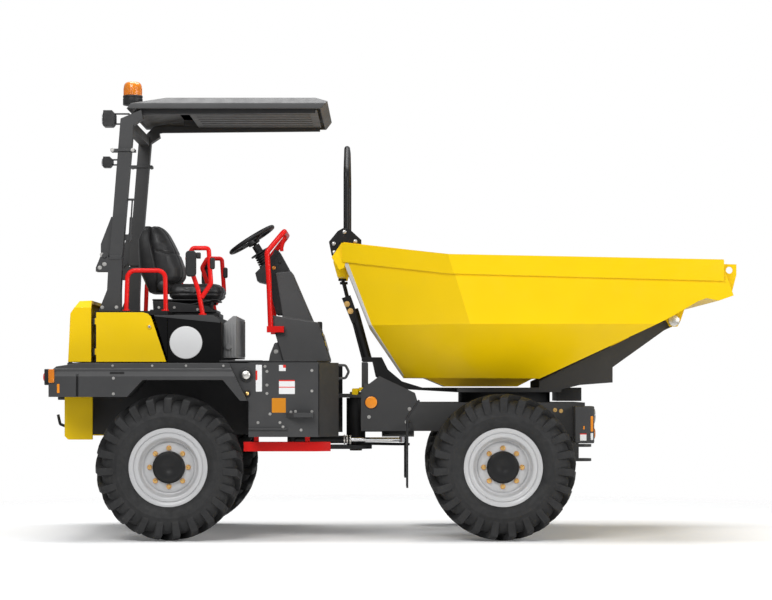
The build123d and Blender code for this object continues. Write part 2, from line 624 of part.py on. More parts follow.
def swivel_console():
    """Turntable, base plate, two arms to the tipping pin and the cylinder's bracket."""
    base = block(420, 1080, -TIP_HALF, TIP_HALF, 915, CONSOLE_Z)
    base += cyl_z(SWIVEL_X, 0, FRONT_DECK_Z + SEAT_GAP, 916, 300)
    base += cyl_z(SWIVEL_X, 0, FRONT_DECK_Z - 40, FRONT_DECK_Z + 10, 100)
    arm_outline = [(940, 916), (1072, 930), (1198, 961), (1408, 977), (1408, 1074), (TIP_X - 55, 1309),
                   (TIP_X, TIP_Z - PIN_BOSS), (TIP_X + 26, TIP_Z - 25), (TIP_X + PIN_BOSS, TIP_Z),
                   (TIP_X + 18, TIP_Z + 24), (TIP_X - 18, TIP_Z + 24), (TIP_X - 91, 1352), (TIP_X - 239, 1280),
                   (940, 986)]
    arms = both_sides(side_plate(arm_outline, TIP_HALF - 25, TIP_HALF))
    tie = block(1360, 1400, -TIP_HALF, TIP_HALF, 985, 1060)
    x = TIP_A[0]
    bracket = block(x - 60, x + 100, -200, 200, 858, CONSOLE_Z)
    ears = side_plate([(x - 40, 940), (x - 30, 1010), (x + 30, 1010), (x + 40, 940)], 30, 48)
    pin = cyl_y(*TIP_A, -48, 48, 16)
    tip_pin = cyl_y(TIP_X, TIP_Z, -TIP_HALF - 45, TIP_HALF + 45, 20)
    return base + arms + tie + bracket + both_sides(ears) + pin + tip_pin


def prop_arms():
    """Arms behind the turntable that carry the skip's rear props."""
    outline = [(420 - SEAT_GAP, 915), (60, 935), (-100, 1015), (-122, PROP_FOOT_Z), (-190, PROP_FOOT_Z),
               (-190, PROP_FOOT_Z + 25), (-60, PROP_FOOT_Z + 25), (-20, 1060), (70, 985), (200, 945),
               (420 - SEAT_GAP, 945)]
    y = PROP_Y
    arms = side_plate(outline, y - 30, y + 30)
    tube = rod((-150, y, PROP_FOOT_Z + 12), (-238, y, 1450), 26)
    tube += rod((-180, y, PROP_FOOT_Z + 12), (-252, y, 1400), 9)
    clamp = side_plate([(-318, 1520), (-262, 1540), (-204, 1372), (-252, 1358)], y - 22, y + 22)
    stem = rod((-277, y, 1500), (-312, y, 1640), 11)
    pad = cyl_z(-314, y, 1632, 1648, 26)
    return both_sides(arms + tube + clamp + stem + pad)


def tip_line():
    return Vector(TIP_B[0] - TIP_A[0], 0, TIP_B[1] - TIP_A[1])


def tip_barrel():
    unit = tip_line().normalized()
    a = Vector(TIP_A[0], 0, TIP_A[1])
    end = a + unit * 330
    deep = a + unit * 75
    tube = rod(tuple(a + unit * 55), tuple(end), 42)
    neck = rod(tuple(a), tuple(a + unit * 60), 26)
    eye = cyl_y(*TIP_A, -28, 28, 32)
    shape = tube + neck + eye - rod(tuple(deep), tuple(end + unit), 22 + RUN_FIT)
    return shape - cyl_y(*TIP_A, -50, 50, 16 + RUN_FIT)


def tip_rod():
    unit = tip_line().normalized()
    a = Vector(TIP_A[0], 0, TIP_A[1])
    b = Vector(TIP_B[0], 0, TIP_B[1])
    bar = rod(tuple(a + unit * 95), tuple(b - unit * 20), 22)
    return bar + cyl_y(*TIP_B, -25, 25, 30)


# ---- skip ------------------------------------------------------------------
SKIP_HALF = 915.0
CREASE_Z = 1335.0
FLOOR_HALF = SKIP_HALF - 315
SKIP_SIDE = [
    (-302, 1864), (352, 1764), (TIP_X + 231, 1731), (TIP_X + 310, 1510), (TIP_X + 219, 1478),
    (TIP_X + 144, 1494), (TIP_X + 93, 1475), (TIP_X - 85, 1372), (TIP_X - 239, 1297), (932, 1001),
    (83, 1007), (-142, 1340), (-299, 1741)]
LIFT = 400.0              # how far the hollow runs on above the rim
# three points of each sloping rear facet, upper then lower
REAR_FACETS = [
    [(352, SKIP_HALF, 1764), (484, SKIP_HALF, CREASE_Z), (-302, SKIP_HALF - 435, 1741)],
    [(484, SKIP_HALF, CREASE_Z), (553, FLOOR_HALF, 1007), (-142, SKIP_HALF - 410, 1340)],
]


def facet_plane(points, inset, side):
    """Plane through a facet's points, moved inwards; its normal points out of the skip."""
    a, b, c = [Vector(x, side * y, z) for x, y, z in points]
    normal = (b - a).cross(c - a).normalized()
    if normal.Y * side < 0:
        normal = normal * -1
    return Plane(origin=a - normal * inset, z_dir=normal)


def skip_body(inset, top_raised):
    """The skip's closed outer form, moved in by inset; top_raised lifts the top out of the way."""
    side = list(SKIP_SIDE)
    if top_raised:
        rear, bend, front = SKIP_SIDE[:3]
        nose = SKIP_SIDE[3]
        lean = (front[0] - nose[0]) / (front[1] - nose[1])
        side[:3] = [(rear[0], rear[1] + LIFT), (bend[0], bend[1] + LIFT),
                    (front[0] + lean * LIFT, front[1] + LIFT)]
    section = [(-SKIP_HALF, CREASE_Z), (-SKIP_HALF, 2400), (SKIP_HALF, 2400), (SKIP_HALF, CREASE_Z),
               (FLOOR_HALF, 1000), (-FLOOR_HALF, 1000)]
    side_face = offset(make_face(Polyline(*side, close=True)), -inset, kind=Kind.INTERSECTION)
    section_face = offset(make_face(Polyline(*section, close=True)), -inset, kind=Kind.INTERSECTION)
    body = extrude(Plane.XZ.offset(-1200) * side_face, 2400)
    body = body & extrude(Plane.YZ.offset(-600) * section_face, 3000)
    for points in REAR_FACETS:
        for hand in (1, -1):
            body = split(body, bisect_by=facet_plane(points, inset, hand), keep=Keep.BOTTOM)
    return body


def skip():
    """Welded tub with its rim, front ears, tipping lugs and rear lugs."""
    shell = skip_body(0, False)
    nose_x = TIP_X + 249
    band = [(-340, 1864), (352, 1764), (nose_x, 1730.6), (nose_x, 1598), (352, 1644), (-340, 1745)]
    rim_band = skip_body(-14, True) & side_plate(band, -SKIP_HALF - 85, SKIP_HALF + 85)
    keel = side_plate([(206, 1010), (346, 952), (808, 952), (921, 1010)], -330, 330)
    lugs = side_plate([(TIP_X - 71, 1384), (TIP_X - 45, TIP_Z), (TIP_X - 25, TIP_Z - 38), (TIP_X + 25, TIP_Z - 38),
                       (TIP_X + 45, TIP_Z), (TIP_X + 79, 1470)], TIP_HALF + 8, TIP_HALF + 30)
    lugs -= cyl_y(TIP_X, TIP_Z, TIP_HALF, TIP_HALF + 40, 20 + RUN_FIT)
    ear_y = SKIP_HALF - 65
    ear = side_plate([(nose_x - 35, 1700), (nose_x, 1706), (nose_x + 86, 1704), (nose_x + 86, 1640),
                      (nose_x + 55, 1520)], ear_y, ear_y + 12)
    ear -= cyl_y(nose_x + 42, 1668, ear_y - 10, ear_y + 20, 21)
    eye_x = TIP_B[0]
    eye_lug = side_plate([(eye_x - 80, 1238), (eye_x - 35, 1183), (eye_x + 35, 1183), (eye_x + 60, 1304)], 30, 46)
    rear_lug = side_plate([(-300, 1750), (-373, 1756), (-345, 1655), (-290, 1655), (-262, 1745)],
                          PROP_Y - 30, PROP_Y + 30)
    shape = shell + rim_band + keel
    shape -= skip_body(SHEET, True)
    shape += both_sides(lugs) + both_sides(ear) + both_sides(eye_lug) + both_sides(rear_lug)
    return shape


# ---- folding guard on the skip's rear --------------------------------------
GUARD_PIVOT = (-285.0, 1900.0)
GUARD_Y = SKIP_HALF - 515


def guard_brackets():
    """Hinge plates bolted to the rear rim."""
    outline = [(-340, 1712), (-380, 1790), (-396, 1872), (-340, 1940), (-304, 1960), (-262, 1950), (-190, 1884),
               (-190, 1852), (-300, 1868), (-330, 1866)]
    plates = [side_plate(outline, y, y + 8) for y in (GUARD_Y - 30, GUARD_Y + 22)]
    foot = side_plate([(-300, 1864.6), (-300, 1878), (-190, 1861), (-190, 1847.8)], GUARD_Y - 30, GUARD_Y + 30)
    pin = cyl_y(*GUARD_PIVOT, GUARD_Y - 30, GUARD_Y + 30, 10)
    return both_sides(plates[0] + plates[1] + foot + pin)


def guard_loop():
    x, z = GUARD_PIVOT
    path = [(x, -GUARD_Y, z), (x, -GUARD_Y, 2325), (x, -150, 2495), (x, 150, 2495), (x, GUARD_Y, 2325),
            (x, GUARD_Y, z)]
    bar = bent_tube(path, 19, 90)
    eyes = cyl_y(x, z, GUARD_Y - 20, GUARD_Y + 20, 24)
    return bar + both_sides(eyes) - both_sides(cyl_y(x, z, GUARD_Y - 40, GUARD_Y + 40, 10 + RUN_FIT))


# ---- lamps and small pieces of the rear ------------------------------------
def tail_lamps():
    return both_sides(block(-2133, -2104 - SEAT_GAP, 800, 900, 960, 1059))


def lock_bar():
    """Red bar that locks the two frames in line for transport, stowed under the tank."""
    bar = plan_plate([(-925, -640), (-925, -600), (-480, -600), (-390, -560), (-380, -590), (-480, -640)],
                     545, 605)
    hangers = [block(x, x + 30, -632, -608, 600, TANK_Z - SEAT_GAP) for x in (-860, -540)]
    return bar + hangers[0] + hangers[1]


os.makedirs("parts", exist_ok=True)

wheels = {
    "front_left": (FRONT_AXLE_X, TRACK_HALF), "front_right": (FRONT_AXLE_X, -TRACK_HALF),
    "rear_left": (REAR_AXLE_X, TRACK_HALF), "rear_right": (REAR_AXLE_X, -TRACK_HALF)}
one_tyre = tyre()
one_rim = rim()
for name, (x, y) in wheels.items():
    turn = Rot(0, 0, 180) if y > 0 else Rot(0, 0, 0)
    save(Pos(x, y, AXLE_Z) * turn * one_tyre, f"tyre_{name}")
    save(Pos(x, y, AXLE_Z) * turn * one_rim, f"rim_{name}")

save(axle(REAR_AXLE_X), "rear_axle")
save(axle(FRONT_AXLE_X), "front_axle")
save(rear_chassis(), "rear_chassis")
save(engine_block(), "engine_block")
save(rear_fenders(), "rear_fenders")
save(tail_cover(), "tail_cover")
save(platform(), "platform")
save(engine_frame(), "engine_frame")
save(engine_door(), "engine_door_left")
save(mirror(engine_door(), about=Plane.XZ), "engine_door_right")
save(rear_hood(), "rear_hood")
save(seat_console(), "seat_console")
save(console_front(), "console_front")
save(seat_base(), "seat_base")
save(seat_cushion(), "seat_cushion")
save(seat_back(), "seat_back")
save(column_shroud(), "column_shroud")
save(steering_column(), "steering_column")
save(steering_wheel(), "steering_wheel")
save(grab_bar(), "grab_bar")
save(side_hoops(), "side_hoops")
save(rops_feet(), "rops_feet")
save(rops_frame(), "rops_frame")
save(canopy(), "canopy")
save(beacon(), "beacon")
save(work_lamps(), "work_lamps")
save(tail_lamps(), "tail_lamps")
save(lock_bar(), "lock_bar")
save(pivot_link(), "pivot_link")
save(steer_barrel(), "steer_barrel")
save(steer_rod(), "steer_rod")
save(front_chassis(), "front_chassis")
save(mud_flaps(), "mud_flaps")
save(lamp_boxes(), "lamp_boxes")
save(swivel_console(), "swivel_console")
save(prop_arms(), "prop_arms")
save(tip_barrel(), "tip_barrel")
save(tip_rod(), "tip_rod")
save(skip(), "skip")
save(guard_brackets(), "guard_brackets")
save(guard_loop(), "guard_loop")
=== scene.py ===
import json
import math
import bmesh
import bpy
from mathutils import Matrix, Vector
from mathutils.bvhtree import BVHTree


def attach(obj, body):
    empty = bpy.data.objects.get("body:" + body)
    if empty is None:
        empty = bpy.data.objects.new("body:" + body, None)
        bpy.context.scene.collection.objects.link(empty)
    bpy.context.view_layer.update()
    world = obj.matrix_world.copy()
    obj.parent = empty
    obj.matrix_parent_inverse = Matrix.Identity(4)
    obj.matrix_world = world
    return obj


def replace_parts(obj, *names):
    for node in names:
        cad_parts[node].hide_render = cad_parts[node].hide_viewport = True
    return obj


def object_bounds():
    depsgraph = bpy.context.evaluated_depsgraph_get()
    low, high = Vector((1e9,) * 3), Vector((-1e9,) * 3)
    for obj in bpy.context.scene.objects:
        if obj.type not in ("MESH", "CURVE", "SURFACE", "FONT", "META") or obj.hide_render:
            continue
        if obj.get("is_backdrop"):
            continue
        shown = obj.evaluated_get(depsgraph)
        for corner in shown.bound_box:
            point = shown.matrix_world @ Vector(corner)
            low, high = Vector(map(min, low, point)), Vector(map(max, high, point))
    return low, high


# Dress of the articulated site dumper. Metres; +X forward, +Z up, near side at -Y.
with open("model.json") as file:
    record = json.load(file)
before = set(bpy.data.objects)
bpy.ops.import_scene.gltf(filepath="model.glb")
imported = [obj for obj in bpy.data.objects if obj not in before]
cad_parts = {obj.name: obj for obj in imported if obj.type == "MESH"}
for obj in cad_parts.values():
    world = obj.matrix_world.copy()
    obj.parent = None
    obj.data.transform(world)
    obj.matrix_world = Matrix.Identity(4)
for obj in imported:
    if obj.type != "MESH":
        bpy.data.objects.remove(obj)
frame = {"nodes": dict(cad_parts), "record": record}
CAD_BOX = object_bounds()
NODES = frame["nodes"]
BODY_OF = {n: b for b, names in frame["record"]["behaviour"]["bodies"].items() for n in names}
RF, FF = "rear_frame", "front_frame"
SIDES = ((-1, "right"), (1, "left"))
UP = Vector((0, 0, 1))

# the camera's lens and sensor are in millimetres
LENS, SENSOR, SHIFT_UP, FAR_CLIP = 102.7, 36.0, 0.114, 100
CAMERA_AT = (-0.033, -14.43, 0.942)
# softboxes: name, place, aim, size, watts
SOFTBOXES = [
    ("key", (-3.0, -7.5, 6.5), (0, 0, 1.2), (5, 3.5), 455),
    ("fill", (6.5, -6.0, 3.0), (0.3, 0, 1.0), (4, 3), 240),
    ("top", (0, 0.5, 7.5), (0, 0, 0), (7, 4), 600)]
SKY_COLOUR, SKY_LIGHT, SKY_IN_GLOSS = (0.93, 0.96, 1.0, 1), 0.27, 0.2
WHITE, PAPER = (1, 1, 1, 1), (0.92, 0.92, 0.92, 1)
FLOOR_RADIUS, FLOOR_DROP, FLOOR_GLOW = 14, 0.002, 0.1
FADE_FROM, FADE_TO = 2.7, 5.4


def linked(name, data):
    """A new object in the scene."""
    made = bpy.data.objects.new(name, data)
    bpy.context.scene.collection.objects.link(made)
    return made


def mesh_of(bm):
    mesh = bpy.data.meshes.new("part")
    bm.to_mesh(mesh)
    bm.free()
    return mesh


class Nodes:
    """A node tree that is being wired up; kinds of its own family go without the family's name."""
    FAMILY = "ShaderNode"

    def __init__(self, tree):
        self.tree = tree

    def feed(self, socket, value):
        """Gives a socket a value, another node's output, or a node's first output."""
        if isinstance(value, bpy.types.Node):
            value = value.outputs[0]
        if isinstance(value, bpy.types.NodeSocket):
            self.tree.links.new(value, socket)
        else:
            socket.default_value = value

    def node(self, kind, inputs=None, **settings):
        made = self.tree.nodes.new(kind if "Node" in kind else self.FAMILY + kind)
        for key, value in settings.items():
            setattr(made, key, value)
        for key, value in (inputs or {}).items():
            self.feed(made.inputs[key], value)
        return made

    def math(self, operation, *values):
        return self.node("ShaderNodeMath", dict(enumerate(values)), operation=operation)


# ---- camera and studio ----
def set_camera():
    data = bpy.data.cameras.new("studio_camera")
    data.lens = LENS
    data.sensor_width = SENSOR
    data.shift_y = SHIFT_UP
    data.clip_end = FAR_CLIP
    camera = linked("studio_camera", data)
    camera.location = CAMERA_AT
    camera.rotation_euler = (math.radians(90), 0, 0)
    bpy.context.scene.camera = camera


def softbox(name, spot, aim, size, watts):
    data = bpy.data.lights.new(name, "AREA")
    data.shape = "RECTANGLE"
    data.size, data.size_y = size
    data.energy = watts
    lamp = linked(name, data)
    lamp.location = spot
    lamp.rotation_euler = (Vector(aim) - Vector(spot)).to_track_quat("-Z", "Y").to_euler()


def set_world():
    """A dim sky that lights the machine, and white where the camera or a clear glass looks at it."""
    world = bpy.data.worlds.new("studio")
    bpy.context.scene.world = world
    world.use_nodes = True
    world.node_tree.nodes.clear()
    net = Nodes(world.node_tree)
    lit = net.node("Background", {"Color": SKY_COLOUR, "Strength": SKY_LIGHT})
    seen = net.node("Background", {"Color": WHITE, "Strength": 1.0})
    path = net.node("LightPath").outputs
    white = net.math("MULTIPLY_ADD", path["Is Glossy Ray"], SKY_IN_GLOSS, path["Is Camera Ray"])
    white = net.math("MAXIMUM", white, path["Is Transmission Ray"])
    mix = net.node("MixShader", {"Fac": white, 1: lit, 2: seen})
    net.node("OutputWorld", {"Surface": mix})


def make_floor():
    """A pale floor that fades into the white backdrop and keeps the machine's shadow."""
    bm = bmesh.new()
    bmesh.ops.create_circle(bm, cap_ends=True, segments=96, radius=FLOOR_RADIUS)
    floor = linked("floor", mesh_of(bm))
    floor.location.z = -FLOOR_DROP
    mat = bpy.data.materials.new("floor_paper")
    mat.use_nodes = True
    mat.node_tree.nodes.clear()
    net = Nodes(mat.node_tree)
    coords = net.node("TexCoord").outputs["Object"]
    away = net.node("VectorMath", {0: coords}, operation="LENGTH").outputs["Value"]
    fade = net.node("MapRange", {"Value": away, "From Min": FADE_FROM, "From Max": FADE_TO})
    paper = net.node("BsdfDiffuse", {"Color": PAPER})
    dark = net.node("Emission", {"Strength": 0.0})
    glow = net.node("Emission", {"Strength": FLOOR_GLOW})
    camera_ray = net.node("LightPath").outputs["Is Camera Ray"]
    seen = net.node("MixShader", {"Fac": camera_ray, 1: dark, 2: glow})
    lit = net.node("AddShader", {0: paper, 1: seen})
    clear = net.node("BsdfTransparent")
    mix = net.node("MixShader", {"Fac": fade, 1: lit, 2: clear})
    net.node("OutputMaterial", {"Surface": mix})
    floor.data.materials.append(mat)
    floor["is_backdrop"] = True


# ---- finishes ----
def shade(colour, factor):
    return tuple(min(1.0, c * factor) for c in colour)


class Surface(Nodes):
    """A material being mixed, its patterns laid on the object's own coordinates."""

    def __init__(self, name, roughness, metallic=0.0, specular=0.5, coat=0.0):
        self.mat = bpy.data.materials.new(name)
        self.mat.use_nodes = True
        super().__init__(self.mat.node_tree)
        self.put({"Roughness": roughness, "Metallic": metallic, "Specular IOR Level": specular,
                  "Coat Weight": coat, "Coat Roughness": 0.08})
        self.coords = self.node("TexCoord").outputs["Object"]

    def put(self, values):
        """Feeds the shader's own inputs."""
        for key, value in values.items():
            self.feed(self.tree.nodes["Principled BSDF"].inputs[key], value)

    def noise(self, scale, detail=3.0, rough=0.55):
        inputs = {"Vector": self.coords, "Scale": scale, "Detail": detail, "Roughness": rough}
        return self.node("TexNoise", inputs)

    def cells(self, scale):
        inputs = {"Vector": self.coords, "Scale": scale}
        return self.node("TexVoronoi", inputs, feature="F1")

    def spread(self, value, low, high, to_low=0.0, to_high=1.0):
        inputs = {"Value": value, "From Min": low, "From Max": high, "To Min": to_low, "To Max": to_high}
        return self.node("MapRange", inputs)

    def clouds(self, scale, detail, low, high, to_low=0.0, to_high=1.0, rough=0.55):
        """Noise cut off at low and high and spread from to_low to to_high."""
        return self.spread(self.noise(scale, detail, rough), low, high, to_low, to_high)

    def gloss(self, scale, detail, least, most, rough=0.55):
        """Roughness that wanders from least to most."""
        self.put({"Roughness": self.clouds(scale, detail, 0.3, 0.7, least, most, rough)})

    def tint(self, share, first, second):
        """Colour that goes from first to second as share goes from 0 to 1."""
        ends = {key: (*c, 1) if isinstance(c, tuple) else c for key, c in (("A", first), ("B", second))}
        return self.node("Mix", {"Factor": share, **ends}, data_type="RGBA").outputs["Result"]

    def faded(self, colour, dark, light, scale, detail, low=0.35, high=0.65, rough=0.55):
        """The colour, darker and lighter in slow clouds."""
        share = self.clouds(scale, detail, low, high, rough=rough)
        return self.tint(share, shade(colour, dark), shade(colour, light))

    def relief(self, height, strength, depth, over=None):
        inputs = {"Height": height, "Strength": strength, "Distance": depth}
        if over is not None:
            inputs["Normal"] = over
        self.put({"Normal": self.node("Bump", inputs)})

    def edges(self, radius):
        """1 along sharp edges and 0 on open faces, and the normal rounded over the edges."""
        bevel = self.node("Bevel", {"Radius": radius}, samples=4)
        flat = self.node("NewGeometry").outputs["Normal"]
        alike = self.node("VectorMath", {0: bevel, 1: flat}, operation="DOT_PRODUCT")
        return self.spread(alike.outputs["Value"], 0.97, 0.8), bevel


def paint(name, colour, roughness, coat, worn=None, grit=1.0, edge=0.0025, shine=0.35):
    """Sprayed enamel: slow fading, a film of dust, rubbed edges and orange peel."""
    mix = Surface(name, roughness, specular=shine, coat=coat)
    base = mix.faded(colour, 0.95, 1.03, 1.7, 2)
    dusted = mix.tint(mix.clouds(7, 6, 0.5, 0.8, 0.0, 0.07 * grit, 0.7), base, (0.3, 0.28, 0.25))
    share, rounded_normal = mix.edges(edge)
    rubbed = mix.math("MULTIPLY", share, mix.clouds(60, 4, 0.42, 0.62, 0.15, 0.6))
    mix.put({"Base Color": mix.tint(rubbed, dusted, worn or shade(colour, 1.35))})
    mix.gloss(11, 5, roughness - 0.06, roughness + 0.08, 0.65)
    mix.relief(mix.noise(420, 2), 0.05, 0.0008, rounded_normal)
    return mix.mat


def moulding(name, colour, roughness, grain=700, dust=0.08):
    """Injection-moulded plastic with a fine spark-eroded grain."""
    mix = Surface(name, roughness, specular=0.4)
    base = mix.faded(colour, 0.9, 1.08, 2.3, 3)
    film = mix.clouds(9, 6, 0.48, 0.8, 0.0, dust, 0.7)
    mix.put({"Base Color": mix.tint(film, base, (0.25, 0.24, 0.22))})
    mix.gloss(16, 4, roughness - 0.07, roughness + 0.07)
    mix.relief(mix.cells(grain), 0.25, 0.0004, mix.edges(0.002)[1])
    return mix.mat


def rubber(name, colour, roughness, grain=260, dust=0.12):
    """Tyre and mat rubber, and the like grain of a sand casting."""
    mix = Surface(name, roughness, specular=0.35)
    base = mix.faded(colour, 0.8, 1.2, 6, 4)
    film = mix.clouds(22, 7, 0.45, 0.8, 0.0, dust, 0.75)
    mix.put({"Base Color": mix.tint(film, base, (0.17, 0.16, 0.145))})
    mix.gloss(30, 4, roughness - 0.1, roughness + 0.1)
    height = mix.math("ADD", mix.noise(grain, 4), mix.math("MULTIPLY", mix.noise(45), 1.6))
    mix.relief(height, 0.18, 0.001)
    return mix.mat


def bare_metal(name, colour, roughness):
    mix = Surface(name, roughness, metallic=1.0)
    mix.put({"Base Color": mix.faded(colour, 0.82, 1.1, 40, 4, 0.3, 0.7)})
    mix.gloss(130, 3, roughness - 0.08, roughness + 0.12)
    mix.relief(mix.noise(300), 0.05, 0.0005)
    return mix.mat


def clear_plastic(name, colour, roughness, transmission, ribs):
    """Lamp glass and reflectors with a fine ribbed face."""
    mix = Surface(name, roughness, coat=0.5)
    mix.put({"Base Color": mix.faded(colour, 0.85, 1.15, 12, 3), "Transmission Weight": transmission})
    mix.relief(mix.cells(ribs), 0.4, 0.001)
    return mix.mat


def leathercloth(name, colour):
    """Seat vinyl: pebbled grain with darker creases."""
    mix = Surface(name, 0.42, specular=0.4)
    base = mix.faded(colour, 0.8, 1.25, 5, 5, 0.35, 0.7, 0.7)
    film = mix.clouds(14, 6, 0.5, 0.8, 0.0, 0.08, 0.7)
    mix.put({"Base Color": mix.tint(film, base, (0.2, 0.19, 0.18)), "Sheen Weight": 0.08})
    mix.gloss(25, 4, 0.34, 0.52)
    height = mix.math("ADD", mix.cells(420), mix.math("MULTIPLY", mix.noise(60, 4), 0.8))
    mix.relief(height, 0.35, 0.0006)
    return mix.mat


def striped(name):
    """Slanting yellow and black bands of a warning film, 15 pairs to the metre."""
    mix = Surface(name, 0.35, coat=0.2)
    apart = mix.node("SeparateXYZ", {0: mix.coords}).outputs
    along = mix.math("MULTIPLY", mix.math("ADD", apart["Y"], apart["Z"]), 15.0)
    band = mix.math("GREATER_THAN", mix.math("FRACT", along), 0.5)
    bands = mix.tint(band, (0.9, 0.6, 0.0), (0.012, 0.012, 0.012))
    mix.put({"Base Color": mix.tint(mix.clouds(90, 4, 0.55, 0.75, 0.0, 0.25), bands, (0.2, 0.18, 0.12))})
    mix.relief(mix.noise(400, 2), 0.05, 0.0005)
    return mix.mat


YELLOW = (0.97, 0.64, 0.0)
DARK_GREY = (0.045, 0.045, 0.046)
BLACK = (0.009, 0.009, 0.0095)
CONSOLE = (0.004, 0.004, 0.0043)
RED = (0.84, 0.01, 0.008)
FINISH = {
    "yellow": paint("yellow_enamel", YELLOW, 0.34, 0.12, (1.0, 0.72, 0.03), grit=0.35, shine=0.25),
    "grey": paint("dark_grey_enamel", DARK_GREY, 0.46, 0.0, (0.11, 0.11, 0.11), grit=0.5),
    "black": paint("black_enamel", BLACK, 0.42, 0.03, (0.04, 0.04, 0.04), grit=0.5, shine=0.25),
    "console": paint("console_black", CONSOLE, 0.5, 0.0, (0.02, 0.02, 0.02), grit=0.15, shine=0.1),
    "red": paint("red_enamel", RED, 0.32, 0.1, (0.88, 0.018, 0.012), grit=0.2, edge=0.0006, shine=0.2),
    "rim": paint("wheel_silver", (0.5, 0.5, 0.505), 0.33, 0.2, (0.62, 0.62, 0.62)),
    # pale: plain pale grey paint on the speed disc's edge, and also the colour of the painted reflection
    # strip down the skip's rear corner
    "pale": paint("pale_grey_enamel", (0.62, 0.61, 0.6), 0.4, 0.1),
    "film_white": paint("white_film", (0.8, 0.8, 0.8), 0.35, 0.2, edge=0.0006, grit=0.5),
    "film_red": paint("red_film", (0.72, 0.025, 0.015), 0.35, 0.2, edge=0.0006, grit=0.5),
    "film_orange": paint("orange_film", (0.6, 0.22, 0.006), 0.38, 0.1, edge=0.0006, grit=0.5),
    "tyre": rubber("tyre_rubber", (0.016, 0.016, 0.0165), 0.66, dust=0.07),
    "rubber": rubber("soft_rubber", (0.014, 0.014, 0.015), 0.55, dust=0.08),
    "cast": rubber("cast_iron", (0.07, 0.07, 0.072), 0.6, grain=180, dust=0.2),
    "vinyl": leathercloth("seat_vinyl", (0.022, 0.022, 0.023)),
    "black_plastic": moulding("black_moulding", (0.014, 0.014, 0.015), 0.45),
    "grey_plastic": moulding("grey_moulding", (0.062, 0.062, 0.063), 0.48, dust=0.03),
    "front_grey": moulding("pale_grey_moulding", (0.3, 0.3, 0.302), 0.42),
    "lamp_black": moulding("lamp_housing", (0.01, 0.01, 0.011), 0.36, grain=500),
    "steel": bare_metal("dull_zinc", (0.5, 0.49, 0.47), 0.4),
    "chrome": bare_metal("hard_chrome", (0.85, 0.85, 0.86), 0.12),
    "zinc": bare_metal("zinc_plate", (0.72, 0.7, 0.66), 0.32),
    "brass": bare_metal("yellow_passivate", (0.86, 0.55, 0.2), 0.34),
    "amber": clear_plastic("amber_lens", (0.95, 0.26, 0.004), 0.12, 0.25, 240),
    "reflector": clear_plastic("orange_reflector", (0.84, 0.27, 0.008), 0.16, 0.0, 260),
    "lens_red": clear_plastic("red_lens", (0.7, 0.008, 0.006), 0.12, 0.1, 260),
    "clear": clear_plastic("lamp_glass", (0.82, 0.84, 0.86), 0.06, 0.55, 180),
    "hazard": striped("hazard_film"),
}


WHEEL_CORNERS = ("front_left", "front_right", "rear_left", "rear_right")
# the CAD nodes: finish, node, edge radius of the skin that stands for it, or 0 where a piece made below does
NODE_FINISH = {
    "yellow": {"tail_cover": 0.004, "engine_door_left": 0.003, "engine_door_right": 0.003,
               "rear_hood": 0.008, "skip": 0.003},
    "grey": {"rear_chassis": 0.0025, "rear_fenders": 0.006, "rops_feet": 0.005, "rops_frame": 0.006,
             "front_chassis": 0.003, "swivel_console": 0.004},
    "black": {"rear_axle": 0.006, "front_axle": 0.006, "engine_frame": 0.004, "pivot_link": 0.004,
              "steer_barrel": 0.002, "prop_arms": 0.003, "tip_barrel": 0.002, "guard_brackets": 0.002,
              "guard_loop": 0.001},
    "console": {"seat_console": 0.01},
    "red": {"grab_bar": 0.001, "side_hoops": 0.001, "lock_bar": 0.004},
    "rim": {f"rim_{corner}": 0 for corner in WHEEL_CORNERS},
    "tyre": {f"tyre_{corner}": 0 for corner in WHEEL_CORNERS},
    "rubber": {"platform": 0, "mud_flaps": 0.002, "steering_column": 0.004},
    "vinyl": {"seat_cushion": 0, "seat_back": 0},
    "black_plastic": {"seat_base": 0, "steering_wheel": 0},
    "grey_plastic": {"column_shroud": 0.014, "canopy": 0.005},
    "front_grey": {"console_front": 0.002},
    "amber": {"beacon": 0, "tail_lamps": 0.005},
    "lamp_black": {"work_lamps": 0.003, "lamp_boxes": 0.008},
    "cast": {"engine_block": 0.012},
    "chrome": {"steer_rod": 0.001, "tip_rod": 0.001},
}
# skins of another finish than their node
SKIN_FINISH = {"steering_column": "black_plastic", "tail_lamps": "lamp_black", "lamp_boxes": "grey"}
for finish, nodes in NODE_FINISH.items():
    for name in nodes:
        mesh = NODES[name].data
        mesh.materials.clear()
        mesh.materials.append(FINISH[finish])


# ---- putting meshes on the machine ----
def place(mesh, name, finish, body):
    """Puts a finished mesh on its body."""
    piece = linked(name, mesh)
    mesh.materials.clear()
    mesh.materials.append(FINISH[finish])
    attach(piece, body)
    return piece


def baked(work):
    """The evaluated mesh of a working object, which is then removed."""
    graph = bpy.context.evaluated_depsgraph_get()
    mesh = bpy.data.meshes.new_from_object(work.evaluated_get(graph))
    bpy.data.objects.remove(work)
    return mesh


def rounded(mesh, width, segments=2, angle=30):
    """The mesh with its edges rounded and its shading evened."""
    work = linked("work", mesh)
    bevel = work.modifiers.new("edges", "BEVEL")
    bevel.width = width
    bevel.segments = segments
    bevel.limit_method = "ANGLE"
    bevel.angle_limit = math.radians(angle)
    work.modifiers.new("shading", "WEIGHTED_NORMAL").keep_sharp = True
    for face in mesh.polygons:
        face.use_smooth = True
    return baked(work)


def eased(mesh, edge, segments, name, finish, body):
    """Rounds a mesh's edges and puts it on its body."""
    return place(rounded(mesh, edge, segments), name, finish, body)


# vertices this close are one, and faces this near to one plane are one face
WELD, FLAT = 0.00002, math.radians(1)


